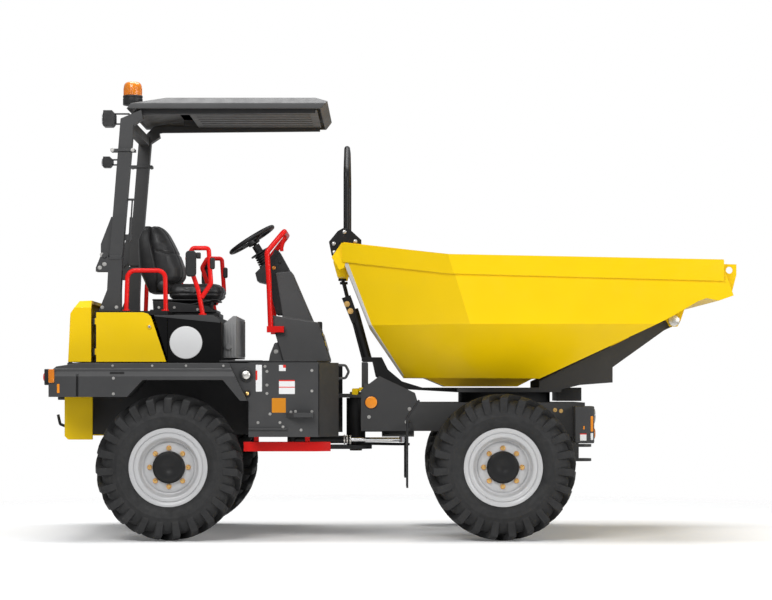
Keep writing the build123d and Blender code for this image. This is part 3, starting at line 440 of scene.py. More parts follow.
def softened(node, finish, width):
    """A CAD node's own shape with its sharp edges rounded, standing for that node."""
    bm = bmesh.new()
    bm.from_mesh(NODES[node].data)
    bmesh.ops.remove_doubles(bm, verts=bm.verts, dist=WELD)
    bmesh.ops.dissolve_limit(bm, angle_limit=FLAT, verts=bm.verts, edges=bm.edges)
    piece = eased(mesh_of(bm), width, 2, node + "_skin", finish, BODY_OF[node])
    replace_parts(piece, node)


# ---- trees that repeat a shape or follow a path ----
class Tree(Nodes):
    """A geometry tree with named inputs; its mesh comes out realized and with one material."""
    FAMILY = "GeometryNode"
    KINDS = {int: "NodeSocketInt", float: "NodeSocketFloat", tuple: "NodeSocketVector"}

    def __init__(self, name, **inputs):
        super().__init__(bpy.data.node_groups.new(name, "GeometryNodeTree"))
        face = self.tree.interface
        face.new_socket("Geometry", in_out="INPUT", socket_type="NodeSocketGeometry")
        for key, value in inputs.items():
            socket = face.new_socket(key, in_out="INPUT", socket_type=self.KINDS[type(value)])
            socket.default_value = value
        face.new_socket("Material", in_out="INPUT", socket_type="NodeSocketMaterial")
        face.new_socket("Geometry", in_out="OUTPUT", socket_type="NodeSocketGeometry")
        self.inputs = self.node("NodeGroupInput").outputs

    def repeated(self, points, shape, **more):
        """The shape at each of the points."""
        inputs = {"Points": points, "Instance": shape, **more}
        return self.node("InstanceOnPoints", inputs)

    def finished(self, geometry):
        """Ends the tree with real meshes in the given material, and returns it."""
        real = self.node("RealizeInstances", {0: geometry})
        inputs = {"Geometry": real, "Material": self.inputs["Material"]}
        self.node("NodeGroupOutput", {0: self.node("SetMaterial", inputs)})
        return self.tree


def ring_tree():
    """Repeats a mesh about the Y axis."""
    tree = Tree("ring_of", Count=8, Start=0.0)
    line = tree.node("MeshLine", {"Count": tree.inputs["Count"], "Offset": (0, 0, 0)})
    share = tree.math("DIVIDE", tree.node("InputIndex"), tree.inputs["Count"])
    turn = tree.math("ADD", tree.math("MULTIPLY", share, 2 * math.pi), tree.inputs["Start"])
    about_y = tree.node("ShaderNodeCombineXYZ", {"Y": turn})
    return tree.finished(tree.repeated(line, tree.inputs["Geometry"], Rotation=about_y))


def row_tree():
    """Repeats a mesh along a straight step."""
    tree = Tree("row_of", Count=4, Step=(0.0, 0.0, 0.01))
    line = tree.node("MeshLine", {"Count": tree.inputs["Count"], "Offset": tree.inputs["Step"]})
    return tree.finished(tree.repeated(line, tree.inputs["Geometry"]))


def bolt_tree():
    """A hexagon head on a washer at each vertex, standing along the vertex's facing attribute."""
    tree = Tree("bolts_at", Radius=0.01, Height=0.006)
    radius, height = tree.inputs["Radius"], tree.inputs["Height"]
    top = tree.math("MULTIPLY", radius, 0.93)
    head = tree.node("MeshCone", {"Vertices": 6, "Radius Bottom": radius, "Radius Top": top, "Depth": height})
    rim, thick = tree.math("MULTIPLY", radius, 1.45), tree.math("MULTIPLY", height, 0.3)
    washer = tree.node("MeshCylinder", {"Vertices": 20, "Radius": rim, "Depth": thick})
    both = tree.node("JoinGeometry", {0: head})
    tree.feed(both.inputs[0], washer)
    facing = tree.node("InputNamedAttribute", {"Name": "facing"}, data_type="FLOAT_VECTOR")
    align = tree.node("FunctionNodeAlignRotationToVector", {"Vector": facing}, axis="Z")
    spin = tree.node("FunctionNodeRandomValue", {"Max": 1.0, "Seed": 7}, data_type="FLOAT")
    about_z = tree.node("ShaderNodeCombineXYZ", {"Z": spin.outputs[1]})
    turned = tree.node("FunctionNodeRotateRotation", {0: align, 1: about_z}, rotation_space="LOCAL")
    return tree.finished(tree.repeated(tree.inputs["Geometry"], both, Rotation=turned))


def pipe_tree():
    """A round bar along the mesh's line of vertices."""
    tree = Tree("pipe_along", Radius=0.01, Sides=20)
    line = tree.node("MeshToCurve", {0: tree.inputs["Geometry"]})
    ring = tree.node("CurvePrimitiveCircle",
                     {"Resolution": tree.inputs["Sides"], "Radius": tree.inputs["Radius"]})
    skin = tree.node("CurveToMesh",
                     {"Curve": line, "Profile Curve": ring, "Fill Caps": True})
    return tree.finished(tree.node("SetShadeSmooth", {0: skin}))


RING, ROW, BOLTS, PIPE = ring_tree(), row_tree(), bolt_tree(), pipe_tree()


def grown(tree, mesh, finish, **values):
    """Runs a tree on a mesh and returns the mesh that comes out."""
    work = linked("work", mesh)
    modifier = work.modifiers.new("tree", "NODES")
    modifier.node_group = tree
    values["Material"] = FINISH[finish]
    for item in tree.interface.items_tree:
        if item.in_out == "INPUT" and item.name in values:
            modifier[item.identifier] = values[item.name]
    return baked(work)


# ---- plain meshes ----
def smooth(mesh, angle=35):
    """Smooth shading that keeps edges sharper than the angle."""
    mesh.shade_smooth()
    mesh.set_sharp_from_angle(angle=math.radians(angle))
    return mesh


def joined(*meshes):
    bm = bmesh.new()
    for mesh in meshes:
        bm.from_mesh(mesh)
    return mesh_of(bm)


def moved(mesh, shift, turn=0.0):
    """A copy, turned about the upright axis and shifted."""
    mesh = mesh.copy()
    mesh.transform(Matrix.Translation(shift) @ Matrix.Rotation(math.radians(turn), 4, "Z"))
    return mesh


def across(mesh):
    """Mirror image on the machine's other side."""
    bm = bmesh.new()
    bm.from_mesh(mesh)
    bmesh.ops.scale(bm, vec=(1, -1, 1), verts=bm.verts)
    bmesh.ops.reverse_faces(bm, faces=bm.faces)
    return mesh_of(bm)


def lofted(rows):
    """A closed bar through rows of corner points."""
    bm = bmesh.new()
    rows = [[bm.verts.new(spot) for spot in row] for row in rows]
    for first, second in zip(rows, rows[1:]):
        for k in range(len(first)):
            n = (k + 1) % len(first)
            bm.faces.new((first[k], first[n], second[n], second[k]))
    bm.faces.new(rows[0])
    bm.faces.new(list(reversed(rows[-1])))
    bmesh.ops.recalc_face_normals(bm, faces=bm.faces)
    return mesh_of(bm)


def prism(points, low, high, axis="Y"):
    """A closed outline, given in the two other axes, run from low to high along Y or Z."""
    spots = {"Y": lambda a, b, t: (a, t, b), "Z": lambda a, b, t: (a, b, t)}
    bm = bmesh.new()
    first = [bm.verts.new(spots[axis](a, b, low)) for a, b in points]
    last = [bm.verts.new(spots[axis](a, b, high)) for a, b in points]
    bm.faces.new(first)
    bm.faces.new(list(reversed(last)))
    for i in range(len(points)):
        j = (i + 1) % len(points)
        bm.faces.new((first[j], first[i], last[i], last[j]))
    bmesh.ops.recalc_face_normals(bm, faces=bm.faces)
    return mesh_of(bm)


def slab(x0, x1, y0, y1, z0, z1):
    return prism([(x0, y0), (x1, y0), (x1, y1), (x0, y1)], z0, z1, "Z")


def oblong(width, height, corner, steps=5):
    """Outline of a rounded rectangle about its middle."""
    spots = []
    for sx, sz, start in ((1, 1, 0), (-1, 1, 90), (-1, -1, 180), (1, -1, 270)):
        for k in range(steps + 1):
            a = math.radians(start + 90 * k / steps)
            spots.append((sx * (width / 2 - corner) + corner * math.cos(a),
                          sz * (height / 2 - corner) + corner * math.sin(a)))
    return spots


def plate(x, z, width, height, corner, y0, y1, steps=5):
    """An upright rounded rectangle about x, z, from y0 to y1."""
    return prism([(u + x, v + z) for u, v in oblong(width, height, corner, steps)], y0, y1)


def lathe(profile, steps, close=False):
    """Turns (place along the axis, radius) points about the Y axis; ends on the axis are closed."""
    bm = bmesh.new()
    rings = []
    for along, radius in profile:
        if radius < 1e-6:
            rings.append([bm.verts.new((0, along, 0))])
            continue
        turns = [2 * math.pi * k / steps for k in range(steps)]
        rings.append([bm.verts.new((radius * math.sin(a), along, radius * math.cos(a))) for a in turns])
    pairs = list(zip(rings, rings[1:])) + ([(rings[-1], rings[0])] if close else [])
    for first, second in pairs:
        for k in range(steps):
            n = (k + 1) % steps
            corners = [first[k % len(first)], first[n % len(first)],
                       second[n % len(second)], second[k % len(second)]]
            corners = list(dict.fromkeys(corners))
            if len(corners) > 2:
                bm.faces.new(corners)
    bmesh.ops.recalc_face_normals(bm, faces=bm.faces)
    return mesh_of(bm)


def stand_at(mesh, start, end):
    """Moves a turned mesh so that its axis runs from start towards end."""
    line = Vector(end) - Vector(start)
    turn = Vector((0, 1, 0)).rotation_difference(line)
    mesh.transform(Matrix.Translation(start) @ turn.to_matrix().to_4x4())
    return mesh


def stick(start, end, radius, steps=24, chamfer=0.1):
    """A round bar with eased ends."""
    length = (Vector(end) - Vector(start)).length
    ease = radius * chamfer
    profile = [(0, 0), (0, radius - ease), (ease, radius), (length - ease, radius),
               (length, radius - ease), (length, 0)]
    return stand_at(lathe(profile, steps), start, end)


def corner_path(points, bend, steps=8):
    """Straight runs joined by arcs of one radius, as the bender makes them."""
    points = [Vector(p) for p in points]
    path = [points[0]]
    for last, here, ahead in zip(points, points[1:], points[2:]):
        back, on = (last - here).normalized(), (ahead - here).normalized()
        half = back.angle(on) / 2
        reach = bend / math.tan(half)
        centre = here + (back + on).normalized() * (bend / math.sin(half))
        a, b = here + back * reach - centre, here + on * reach - centre
        sweep = a.angle(b)
        path += [centre + a * (math.sin((1 - k / steps) * sweep) / math.sin(sweep))
                 + b * (math.sin(k / steps * sweep) / math.sin(sweep)) for k in range(steps + 1)]
    return path + [points[-1]]


def pipe(points, radius, finish, sides):
    bm = bmesh.new()
    verts = [bm.verts.new(p) for p in points]
    for a, b in zip(verts, verts[1:]):
        bm.edges.new((a, b))
    return grown(PIPE, mesh_of(bm), finish, Radius=radius, Sides=sides)


def bolts(places, facing, radius, height, finish):
    """Hexagon heads at places, all facing one way."""
    bm = bmesh.new()
    for spot in places:
        bm.verts.new(spot)
    mesh = mesh_of(bm)
    for item in mesh.attributes.new("facing", "FLOAT_VECTOR", "POINT").data:
        item.vector = facing
    return grown(BOLTS, mesh, finish, Radius=radius, Height=height)


# ---- wheels ----
AXLES, TRACK_HALF, AXLE_Z = {"front": 0.688, "rear": -1.372}, 0.78, 0.453
LUGS, NUTS, NUT_CIRCLE = 23, 8, 0.1185
# profiles: place along the axle, radius
CARCASS = [
    (0.112, 0.2283), (0.121, 0.244), (0.1225, 0.25), (0.134, 0.256), (0.1355, 0.261), (0.144, 0.27),
    (0.149, 0.29), (0.15, 0.308), (0.1515, 0.311), (0.1515, 0.315), (0.1498, 0.318), (0.148, 0.335),
    (0.142, 0.355), (0.132, 0.377), (0.12, 0.396), (0.103, 0.408), (0.08, 0.415), (0.04, 0.419)]
CROWN = (0.0, 0.42)
RIM = [
    (-0.1115, 0.2275), (-0.1125, 0.2405), (-0.118, 0.244), (-0.1225, 0.2425), (-0.1235, 0.2385),
    (-0.12, 0.229), (-0.1175, 0.218), (-0.115, 0.215), (-0.111, 0.214), (-0.111, 0.211),
    (-0.1155, 0.209), (-0.1165, 0.196), (-0.114, 0.187), (-0.108, 0.182), (-0.09, 0.178),
    (-0.062, 0.173), (-0.054, 0.168), (-0.052, 0.16), (-0.056, 0.156), (-0.06, 0.148),
    (-0.065, 0.09), (-0.04, 0.088), (-0.042, 0.15), (-0.03, 0.165), (0.0, 0.21),
    (0.09, 0.212), (0.111, 0.218), (0.1225, 0.2385), (0.118, 0.244), (0.1125, 0.2405), (0.1115, 0.2275)]
HUB_CAP = [
    (-0.06, 0.1), (-0.082, 0.1), (-0.086, 0.098), (-0.087, 0.093), (-0.09, 0.0905), (-0.0945, 0.088),
    (-0.096, 0.083), (-0.096, 0.03), (-0.094, 0.027), (-0.094, 0.0)]
HUB_DRUM = [(-0.04, 0.0), (-0.04, 0.13), (0.11, 0.13), (0.13, 0.11), (0.13, 0.08), (0.125, 0.0)]
# one lug, from its foot on the sidewall to its nose past the crown's middle:
# inner y, inner r, outer y, outer r, turn in degrees, half width
LUG = [
    (-0.144, 0.33, -0.149, 0.334, 0.0, 0.018),
    (-0.14, 0.345, -0.1515, 0.348, 0.0, 0.024),
    (-0.112, 0.385, -0.15, 0.415, 0.2, 0.0265),
    (-0.105, 0.4, -0.1455, 0.43, 0.5, 0.027),
    (-0.085, 0.408, -0.102, 0.4485, 2.6, 0.0275),
    (-0.045, 0.412, -0.052, 0.4525, 7.0, 0.027),
    (0.002, 0.412, 0.002, 0.453, 12.0, 0.026),
    (0.012, 0.412, 0.014, 0.45, 13.2, 0.021)]
# the lug's foot and top as shares of its half width
LUG_FOOT, LUG_TOP = 1.18, 0.86


def lug():
    rows = []
    for y_in, r_in, y_out, r_out, turn, half in LUG:
        spin = Matrix.Rotation(math.radians(turn), 3, "Y")
        foot, top = half * LUG_FOOT, half * LUG_TOP
        spots = [(-foot, y_in, r_in), (-top, y_out, r_out), (top, y_out, r_out), (foot, y_in, r_in)]
        rows.append([spin @ Vector(spot) for spot in spots])
    return rounded(lofted(rows), 0.0028, 1, 25)


def tyre_mesh():
    profile = [(-y, r) for y, r in CARCASS] + [CROWN] + list(reversed(CARCASS))
    casing = smooth(lathe(profile, 112, close=True), 60)
    near = grown(RING, lug(), "tyre", Count=LUGS, Start=0.0)
    far = grown(RING, across(lug()), "tyre", Count=LUGS, Start=math.pi / LUGS)
    return joined(casing, near, far)


def nut_mesh():
    turns = [k * math.pi / 3 for k in range(6)]
    nut = prism([(0.0135 * math.cos(a), 0.0135 * math.sin(a)) for a in turns], -0.079, -0.065)
    stud = stick((0, -0.06, 0), (0, -0.086, 0), 0.0062, 16, 0.3)
    seat = stick((0, -0.06, 0), (0, -0.0665, 0), 0.016, 24, 0.3)
    return joined(rounded(nut, 0.0012, 1), smooth(stud), smooth(seat))


def make_wheels():
    hub = joined(smooth(lathe(HUB_CAP, 64), 40), smooth(lathe(HUB_DRUM, 48), 40))
    nuts = grown(RING, moved(nut_mesh(), (0, 0, NUT_CIRCLE)), "brass", Count=NUTS, Start=0.0)
    shapes = {"tyre": (tyre_mesh(), "tyre"), "rim": (smooth(lathe(RIM, 96, close=True), 50), "rim"),
              "hub": (hub, "black"), "nuts": (nuts, "brass")}
    for end, x in AXLES.items():
        for side, word in SIDES:
            for kind, (mesh, finish) in shapes.items():
                here = moved(mesh, (x, side * TRACK_HALF, AXLE_Z), 180 if side > 0 else 0)
                piece = place(here, f"{kind}_{end}_{word}_skin", finish, f"wheel_{end}_{word}")
                if kind in ("tyre", "rim"):
                    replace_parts(piece, f"{kind}_{end}_{word}")


# ---- seat ----
# levels of the soft forms: centre x, z, half depth, half width
BACKREST = [
    (-1.513, 1.568, 0.04, 0.17), (-1.516, 1.592, 0.052, 0.196), (-1.518, 1.618, 0.056, 0.202),
    (-1.477, 1.634, 0.108, 0.206), (-1.473, 1.662, 0.124, 0.211), (-1.474, 1.716, 0.124, 0.213),
    (-1.49, 1.8, 0.108, 0.213), (-1.509, 1.88, 0.088, 0.209), (-1.523, 1.94, 0.069, 0.197),
    (-1.533, 1.978, 0.048, 0.172), (-1.536, 1.994, 0.027, 0.132)]
SHELL = [
    (-1.538, 1.562, 0.032, 0.19), (-1.552, 1.64, 0.052, 0.218), (-1.566, 1.7, 0.066, 0.227),
    (-1.58, 1.8, 0.058, 0.228), (-1.594, 1.9, 0.046, 0.224), (-1.584, 1.96, 0.032, 0.204),
    (-1.577, 1.99, 0.02, 0.166)]
SQUAB = [
    (-1.268, 1.523, 0.17, 0.2), (-1.267, 1.536, 0.181, 0.219), (-1.267, 1.568, 0.184, 0.223),
    (-1.268, 1.596, 0.179, 0.217), (-1.272, 1.611, 0.156, 0.19)]
BACK_SEAM, SQUAB_SEAM, WELT = 0.118, 0.125, 0.0024
VOXEL, PRESSURE, MOST_SWELL, CLOTH_STEPS = 0.006, 3.0, 0.006, 20


def rounded_form(levels, corner=2.6, steps=28):
    """A closed soft form; a higher corner gives squarer levels."""
    turns = [2 * math.pi * k / steps for k in range(steps)]
    bulged = [[math.copysign(abs(v) ** (2 / corner), v) for v in (math.cos(a), math.sin(a))] for a in turns]
    return lofted([[(x + deep * c, wide * s, z) for c, s in bulged] for x, z, deep, wide in levels])


def stuffed(mesh):
    """Cushion foam under its cover: the form is remeshed, blown up as cloth and held to a cap."""
    work = linked("work", mesh)
    remesh = work.modifiers.new("remesh", "REMESH")
    remesh.mode = "VOXEL"
    remesh.voxel_size = VOXEL
    mesh = baked(work)
    rest = [v.co.copy() for v in mesh.vertices]
    work = linked("work", mesh)
    cloth = work.modifiers.new("cloth", "CLOTH")
    cloth.settings.use_pressure = True
    cloth.settings.uniform_pressure_force = PRESSURE
    cloth.settings.effector_weights.gravity = 0
    cloth.settings.tension_stiffness = 40
    cloth.settings.bending_stiffness = 4
    cloth.point_cache.frame_end = CLOTH_STEPS
    for step in range(1, CLOTH_STEPS + 1):
        bpy.context.scene.frame_set(step)
    mesh = baked(work)
    bpy.context.scene.frame_set(1)
    for vert, home in zip(mesh.vertices, rest):
        shift = vert.co - home
        if shift.length > MOST_SWELL:
            vert.co = home + shift * (MOST_SWELL / shift.length)
    work = linked("work", mesh)
    finer = work.modifiers.new("finer", "SUBSURF")
    finer.levels = finer.render_levels = 1
    return smooth(baked(work), 180)


def pinch(mesh, spot, normal, width, depth, where):
    """Draws a seam into a cushion: points near the plane sink inwards."""
    spot, normal = Vector(spot), Vector(normal).normalized()
    for vert, out in [(v, v.normal.copy()) for v in mesh.vertices]:
        away = abs((vert.co - spot).dot(normal))
        if away < width and where(vert.co, out):
            vert.co -= out * depth * (1 - away / width) ** 2


def welt(mesh, spots, toward):
    """A thin sewn welt laid on a cushion: each spot is carried along toward until it meets the cover."""
    bm = bmesh.new()
    bm.from_mesh(mesh)
    tree = BVHTree.FromBMesh(bm)
    bm.free()
    toward = Vector(toward)
    hits = [tree.ray_cast(Vector(spot) - toward, toward)[0] for spot in spots]
    return pipe([hit - toward.normalized() * (WELT / 2) for hit in hits if hit], WELT, "vinyl", 10)


def make_seat():
    back = stuffed(rounded_form(BACKREST))
    for side, _ in SIDES:
        pinch(back, (-1.5, side * BACK_SEAM, 1.8), (0, 1, 0), 0.016, 0.009,
              lambda p, n: n.x > 0.1 or p.z > 1.95)
    pinch(back, (-1.4, 0, 1.816), (0.1, 0, 1), 0.014, 0.007, lambda p, n: n.x > -0.3)
    squab = stuffed(rounded_form(SQUAB, 4.5))
    for side, _ in SIDES:
        pinch(squab, (-1.27, side * SQUAB_SEAM, 1.6), (0, 1, 0), 0.016, 0.008,
              lambda p, n: n.z > 0.3 or n.x > 0.5)
    pinch(squab, (-1.27, 0, 1.552), (0, 0, 1), 0.01, 0.005, lambda p, n: abs(n.z) < 0.8)
    # the welts lie in the seams, met from the front and from above
    up_back = [[(-1.2, side * BACK_SEAM, 1.655 + 0.02 * k) for k in range(16)] for side, _ in SIDES]
    along_squab = [[(-1.42 + 0.02 * k, side * SQUAB_SEAM, 1.9) for k in range(15)] for side, _ in SIDES]
    welts = [welt(back, spots, (-0.5, 0, 0)) for spots in up_back]
    welts += [welt(squab, spots, (0, 0, -0.5)) for spots in along_squab]
    backrest = place(back, "seat_backrest_pad", "vinyl", RF)
    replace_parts(backrest, "seat_back")
    cushion = place(squab, "seat_squab_pad", "vinyl", RF)
    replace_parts(cushion, "seat_cushion")
    place(joined(*welts), "seat_welts", "vinyl", RF)
    shell = rounded(rounded_form(SHELL, 5.0, 40), 0.004, 1, 50)
    place(smooth(shell, 60), "seat_back_shell", "black_plastic", RF)


# ---- skins of the steel and moulded pieces ----
# the tipping pin at x, z; the lugs' eyes in the skip's skin are widened for their play on it
TIP_PIN, EYE_REACH, LUG_INSIDE, EYE_PLAY = (1.791, 1.37), 0.022, 0.437, 1.03


def make_skins():
    for finish, nodes in NODE_FINISH.items():
        for node, width in nodes.items():
            if width:
                softened(node, SKIN_FINISH.get(node, finish), width)
    for vert in bpy.data.objects["skip_skin"].data.vertices:
        x, z = vert.co.x - TIP_PIN[0], vert.co.z - TIP_PIN[1]
        if math.hypot(x, z) < EYE_REACH and abs(vert.co.y) > LUG_INSIDE:
            vert.co.x, vert.co.z = TIP_PIN[0] + x * EYE_PLAY, TIP_PIN[1] + z * EYE_PLAY


# ---- films, discs, lamp glasses and bolts ----
# a film's share inside its face, and a disc's depth in it
FILM_SUNK, DISC_SUNK = 0.3, 0.0004


def film(name, finish, body, x0, x1, z0, z1, y, thick, corner):
    """A thin film on an upright face; y is the face it lies on, outward is away from the middle."""
    out = math.copysign(thick, y)
    low, high = sorted((y - out * FILM_SUNK, y + out))
    mesh = plate((x0 + x1) / 2, (z0 + z1) / 2, x1 - x0, z1 - z0, corner, low, high)
    place(rounded(mesh, thick * 0.3, 1, 40), name, finish, body)


def disc(name, finish, body, x, z, y, radius, thick, dome=0.15):
    """A round plate on an upright face, slightly crowned."""
    out = math.copysign(1.0, y)
    profile = [(0, 0), (0, radius), (thick * 0.6, radius), (thick * 0.9, radius * 0.96),
               (thick, radius * 0.9), (thick * (1 + dome), 0)]
    mesh = stand_at(lathe(profile, 48), (x, y - out * DISC_SUNK, z), (x, y + out, z))
    place(smooth(mesh, 50), name, finish, body)


def lens(name, finish, body, x, z, y, ahead, radius, thick):
    """A round crowned lamp glass that looks forward (ahead 1) or back (ahead -1)."""
    profile = [(-0.002, 0), (-0.002, radius), (thick * 0.5, radius), (thick * 0.85, radius * 0.9),
               (thick * 1.1, radius * 0.6), (thick * 1.2, 0)]
    mesh = stand_at(lathe(profile, 40), (x, y, z), (x + ahead, y, z))
    place(smooth(mesh, 60), name, finish, body)


TANK_Y = -0.85
# blank labels on the right tank: name, finish, x0, x1, z0, z1
LABELS = [
    ("label_tall", "film_white", -0.836, -0.798, 0.92, 1.085),
    ("label_tall_red", "film_red", -0.8365, -0.826, 0.99, 1.05),
    ("label_small", "film_white", -0.693, -0.651, 1.047, 1.084),
    ("label_small_red", "film_red", -0.668, -0.6505, 1.066, 1.0845),
    ("label_pair", "film_white", -0.693, -0.595, 0.905, 0.991),
    ("label_pair_top", "film_red", -0.6935, -0.5945, 0.984, 0.9915),
    ("label_pair_middle", "film_red", -0.6935, -0.5945, 0.944, 0.95),
    ("label_orange", "film_orange", -0.737, -0.651, 0.79, 0.88)]
# films: name, finish, body, x0, x1, z0, z1, y, thickness, corner radius
FILMS = [
    ("tank_seam", "black", RF, -0.4475, -0.4445, 0.655, 1.09, -0.838, 0.016, 0.001),
    # painted shade: the black guard_slot film stands for the shade inside the slot in the guard
    ("guard_slot", "black", RF, -1.728, -1.64, 1.03, 1.04, -0.911, 0.0012, 0.002),
    ("guard_joint", "black", RF, -1.934, -1.922, 0.89, 1.014, -0.9105, 0.001, 0.001)]
FILM_PAIRS = [
    ("front_marker", "reflector", FF, 1.25, 1.266, 0.669, 0.766, 0.62, 0.003, 0.003),
    ("front_glass", "film_white", FF, 1.25, 1.266, 0.616, 0.66, 0.62, 0.003, 0.003),
    ("front_spot", "reflector", FF, 1.204, 1.212, 0.682, 0.704, 0.62, 0.002, 0.003),
    ("front_label", "film_white", FF, 1.184, 1.224, 0.612, 0.656, 0.62, 0.001, 0.002),
    ("front_label_top", "film_red", FF, 1.184, 1.224, 0.65, 0.6565, 0.62, 0.0014, 0.001),
    ("corner_marker", "reflector", RF, -2.051, -2.036, 0.911, 0.967, 0.92, 0.002, 0.002)]
# discs: name, finish, body, x, z, y, radius, thickness, and the crown's share if it isn't 0.15
DISCS = [
    ("speed_disc", "film_white", RF, -1.286, 1.227, -0.64, 0.1, 0.0014),
    ("speed_disc_edge", "pale", RF, -1.286, 1.227, -0.6399, 0.1025, 0.001, 0.05),
    ("door_lock_face", "steel", "door_right", -1.514, 1.326, -0.646, 0.009, 0.003),
    ("door_lock_slot", "black_plastic", "door_right", -1.514, 1.326, -0.6475, 0.0035, 0.003),
    ("filler_cap_ring", "black_plastic", RF, -0.895, 1.022, -0.858, 0.041, 0.004),
    ("filler_cap", "zinc", RF, -0.895, 1.022, -0.862, 0.026, 0.014, 0.3),
    ("drain_plug", "brass", RF, -0.889, 0.908, -0.85, 0.012, 0.012),
    ("drain_ring", "black_plastic", RF, -0.889, 0.908, -0.85, 0.024, 0.004),
    ("dash_light", "reflector", RF, -0.76, 1.721, -0.14, 0.012, 0.006)]
DISCS += [(f"dash_switch_{n}", "black_plastic", RF, x, z, -0.14, 0.009, 0.01)
          for n, (x, z) in enumerate([(-0.722, 1.76), (-0.735, 1.68), (-0.805, 1.69)])]
DISC_PAIRS = [
    ("side_reflector_rim", "black_plastic", FF, -0.127, 0.851, 0.45, 0.043, 0.004),
    ("side_reflector", "reflector", FF, -0.127, 0.851, 0.4535, 0.038, 0.005),
    ("seat_recliner", "black_plastic", RF, -1.47, 1.6, 0.224, 0.036, 0.016),
    ("tip_pin_cap", "zinc", "swivel", *TIP_PIN, 0.4745, 0.036, 0.012)]
GUARD_PINS = [(-0.297, 1.934), (-0.365, 1.859), (-0.361, 1.805), (-0.228, 1.874)]
DISC_PAIRS += [(f"guard_pin_{n}", "steel", "tub", x, z, 0.43, 0.013, 0.009)
               for n, (x, z) in enumerate(GUARD_PINS)]
# lamp glasses: name, finish, body, x, z, y, way it looks, radius, thickness
LENSES = [
    ("work_lens_high", "clear", "rops", -1.819, 2.641, -0.52, -1, 0.04, 0.006),
    ("work_lens_low", "clear", "rops", -1.822, 2.367, -0.52, -1, 0.024, 0.006)]
LENS_PAIRS = [
    ("headlamp", "clear", FF, 1.274, 0.765, 0.535, 1, 0.048, 0.012),
    ("headlamp_ring", "black_plastic", FF, 1.2735, 0.765, 0.535, 1, 0.056, 0.005),
    ("indicator", "amber", FF, 1.274, 0.655, 0.535, 1, 0.034, 0.012),
    ("tail_red", "lens_red", RF, -2.133, 1.009, 0.872, -1, 0.024, 0.008),
    ("tail_amber", "amber", RF, -2.133, 1.009, 0.824, -1, 0.022, 0.008)]
# bolts on both sides: name, finish, body, and for each group y, head's radius, height and places (x, z)
BOLT_PAIRS = [
    ("side_bolts", "steel", RF, [
        (0.8515, 0.0062, 0.004, [
            (-0.779, 1.075), (-0.767, 1.044), (-0.767, 0.96), (-0.767, 0.908), (-0.49, 1.05),
            (-0.49, 0.924), (-0.49, 0.797), (-0.619, 0.794), (-0.591, 0.797), (-0.822, 0.729),
            (-0.687, 0.729), (-0.668, 0.702), (-0.557, 0.683), (-0.748, 0.782)]),
        (0.8955, 0.005, 0.004, [(-1.713, 1.079), (-1.47, 1.079), (-1.262, 1.079), (-1.032, 1.079)]),
        (0.9215, 0.0062, 0.004, [(-1.705, 1.002), (-1.705, 0.906)])]),
    ("frame_bolts", "steel", FF, [
        (0.4515, 0.008, 0.006, [(-0.141, 0.758), (0.116, 0.809), (0.097, 0.726)])]),
    ("frame_studs", "brass", FF, [(0.4515, 0.009, 0.006, [(1.04, 0.802), (1.078, 0.796)])]),
    ("shroud_bolt", "steel", RF, [(0.2155, 0.01, 0.007, [(-0.743, 1.177)])]),
    ("seat_bolts", "steel", RF, [
        (0.209, 0.006, 0.004, [(-1.5, 1.462), (-1.4, 1.462), (-1.25, 1.45)])]),
    ("prop_bolts", "brass", "swivel", [(0.263, 0.013, 0.009, [(-0.284, 1.482), (-0.262, 1.437)])]),
    ("fold_bolts", "steel", RF, [
        (0.5615, 0.009, 0.006, [(-1.822, 1.782), (-1.806, 1.722), (-1.835, 1.7)])]),
    ("flange_bolts", "steel", "rops", [(0.5705, 0.008, 0.005, [(-1.756, 2.441), (-1.628, 2.441)])]),
    ("foot_bolts", "steel", RF, [(0.5615, 0.008, 0.006, [(-1.82, 1.45), (-1.73, 1.45)])])]


def make_fittings():
    for name, finish, x0, x1, z0, z1 in LABELS:
        film(name, finish, RF, x0, x1, z0, z1, TANK_Y, 0.001 if finish == "film_white" else 0.0014, 0.003)
    for make, table in ((film, FILMS), (disc, DISCS), (lens, LENSES)):
        for row in table:
            make(*row)
    # the y of a pair's row gets the side's sign
    for make, table, y_column in ((film, FILM_PAIRS, 7), (disc, DISC_PAIRS, 5), (lens, LENS_PAIRS, 5)):
        for row in table:
            for side, word in SIDES:
                make(f"{row[0]}_{word}", *row[1:y_column], side * row[y_column], *row[y_column + 1:])
    for name, finish, body, groups in BOLT_PAIRS:
        for side, word in SIDES:
            heads = [bolts([(x, side * y, z) for x, z in spots], (0, side, 0), radius, height, finish)
                     for y, radius, height, spots in groups]
            place(joined(*heads), f"{name}_{word}", finish, body)


# ---- trims, caps and hooks ----
def pair(mesh, name, finish, body, edge, segments=1, home=-1):
    """A piece with rounded edges and its mirror image; home is the side that the mesh is drawn on."""
    for side, word in SIDES:
        here = mesh if side == home else across(mesh)
        eased(here, edge, segments, f"{name}_{word}", finish, body)


def seat_box_trims():
    """The black side panel between the door's slanted edge and the seat box, and the box's top trim."""
    panel = prism([(-1.4865, 1.399), (-1.4035, 1.399), (-1.4035, 1.13)], -0.64, -0.633)
    pair(panel, "seat_box_panel", "console", RF, 0.001)
    trim = prism([(-1.486, 1.3985), (-1.112, 1.3985), (-1.072, 1.3655), (-1.072, 1.35), (-1.482, 1.3905)],
                 -0.6425, -0.6395)
    pair(trim, "seat_box_trim", "grey", RF, 0.0008)


# coupling caps between the frames: tag, x, z, width, height; and all caps' middle and half length in y
COUPLING_CAPS = [("a", -0.23125, 0.919, 0.0415, 0.042), ("b", -0.1925, 0.933, 0.033, 0.026)]
CAP_Y, CAP_HALF = 0.262, 0.022
TAIL_HOOK_Y = 0.56


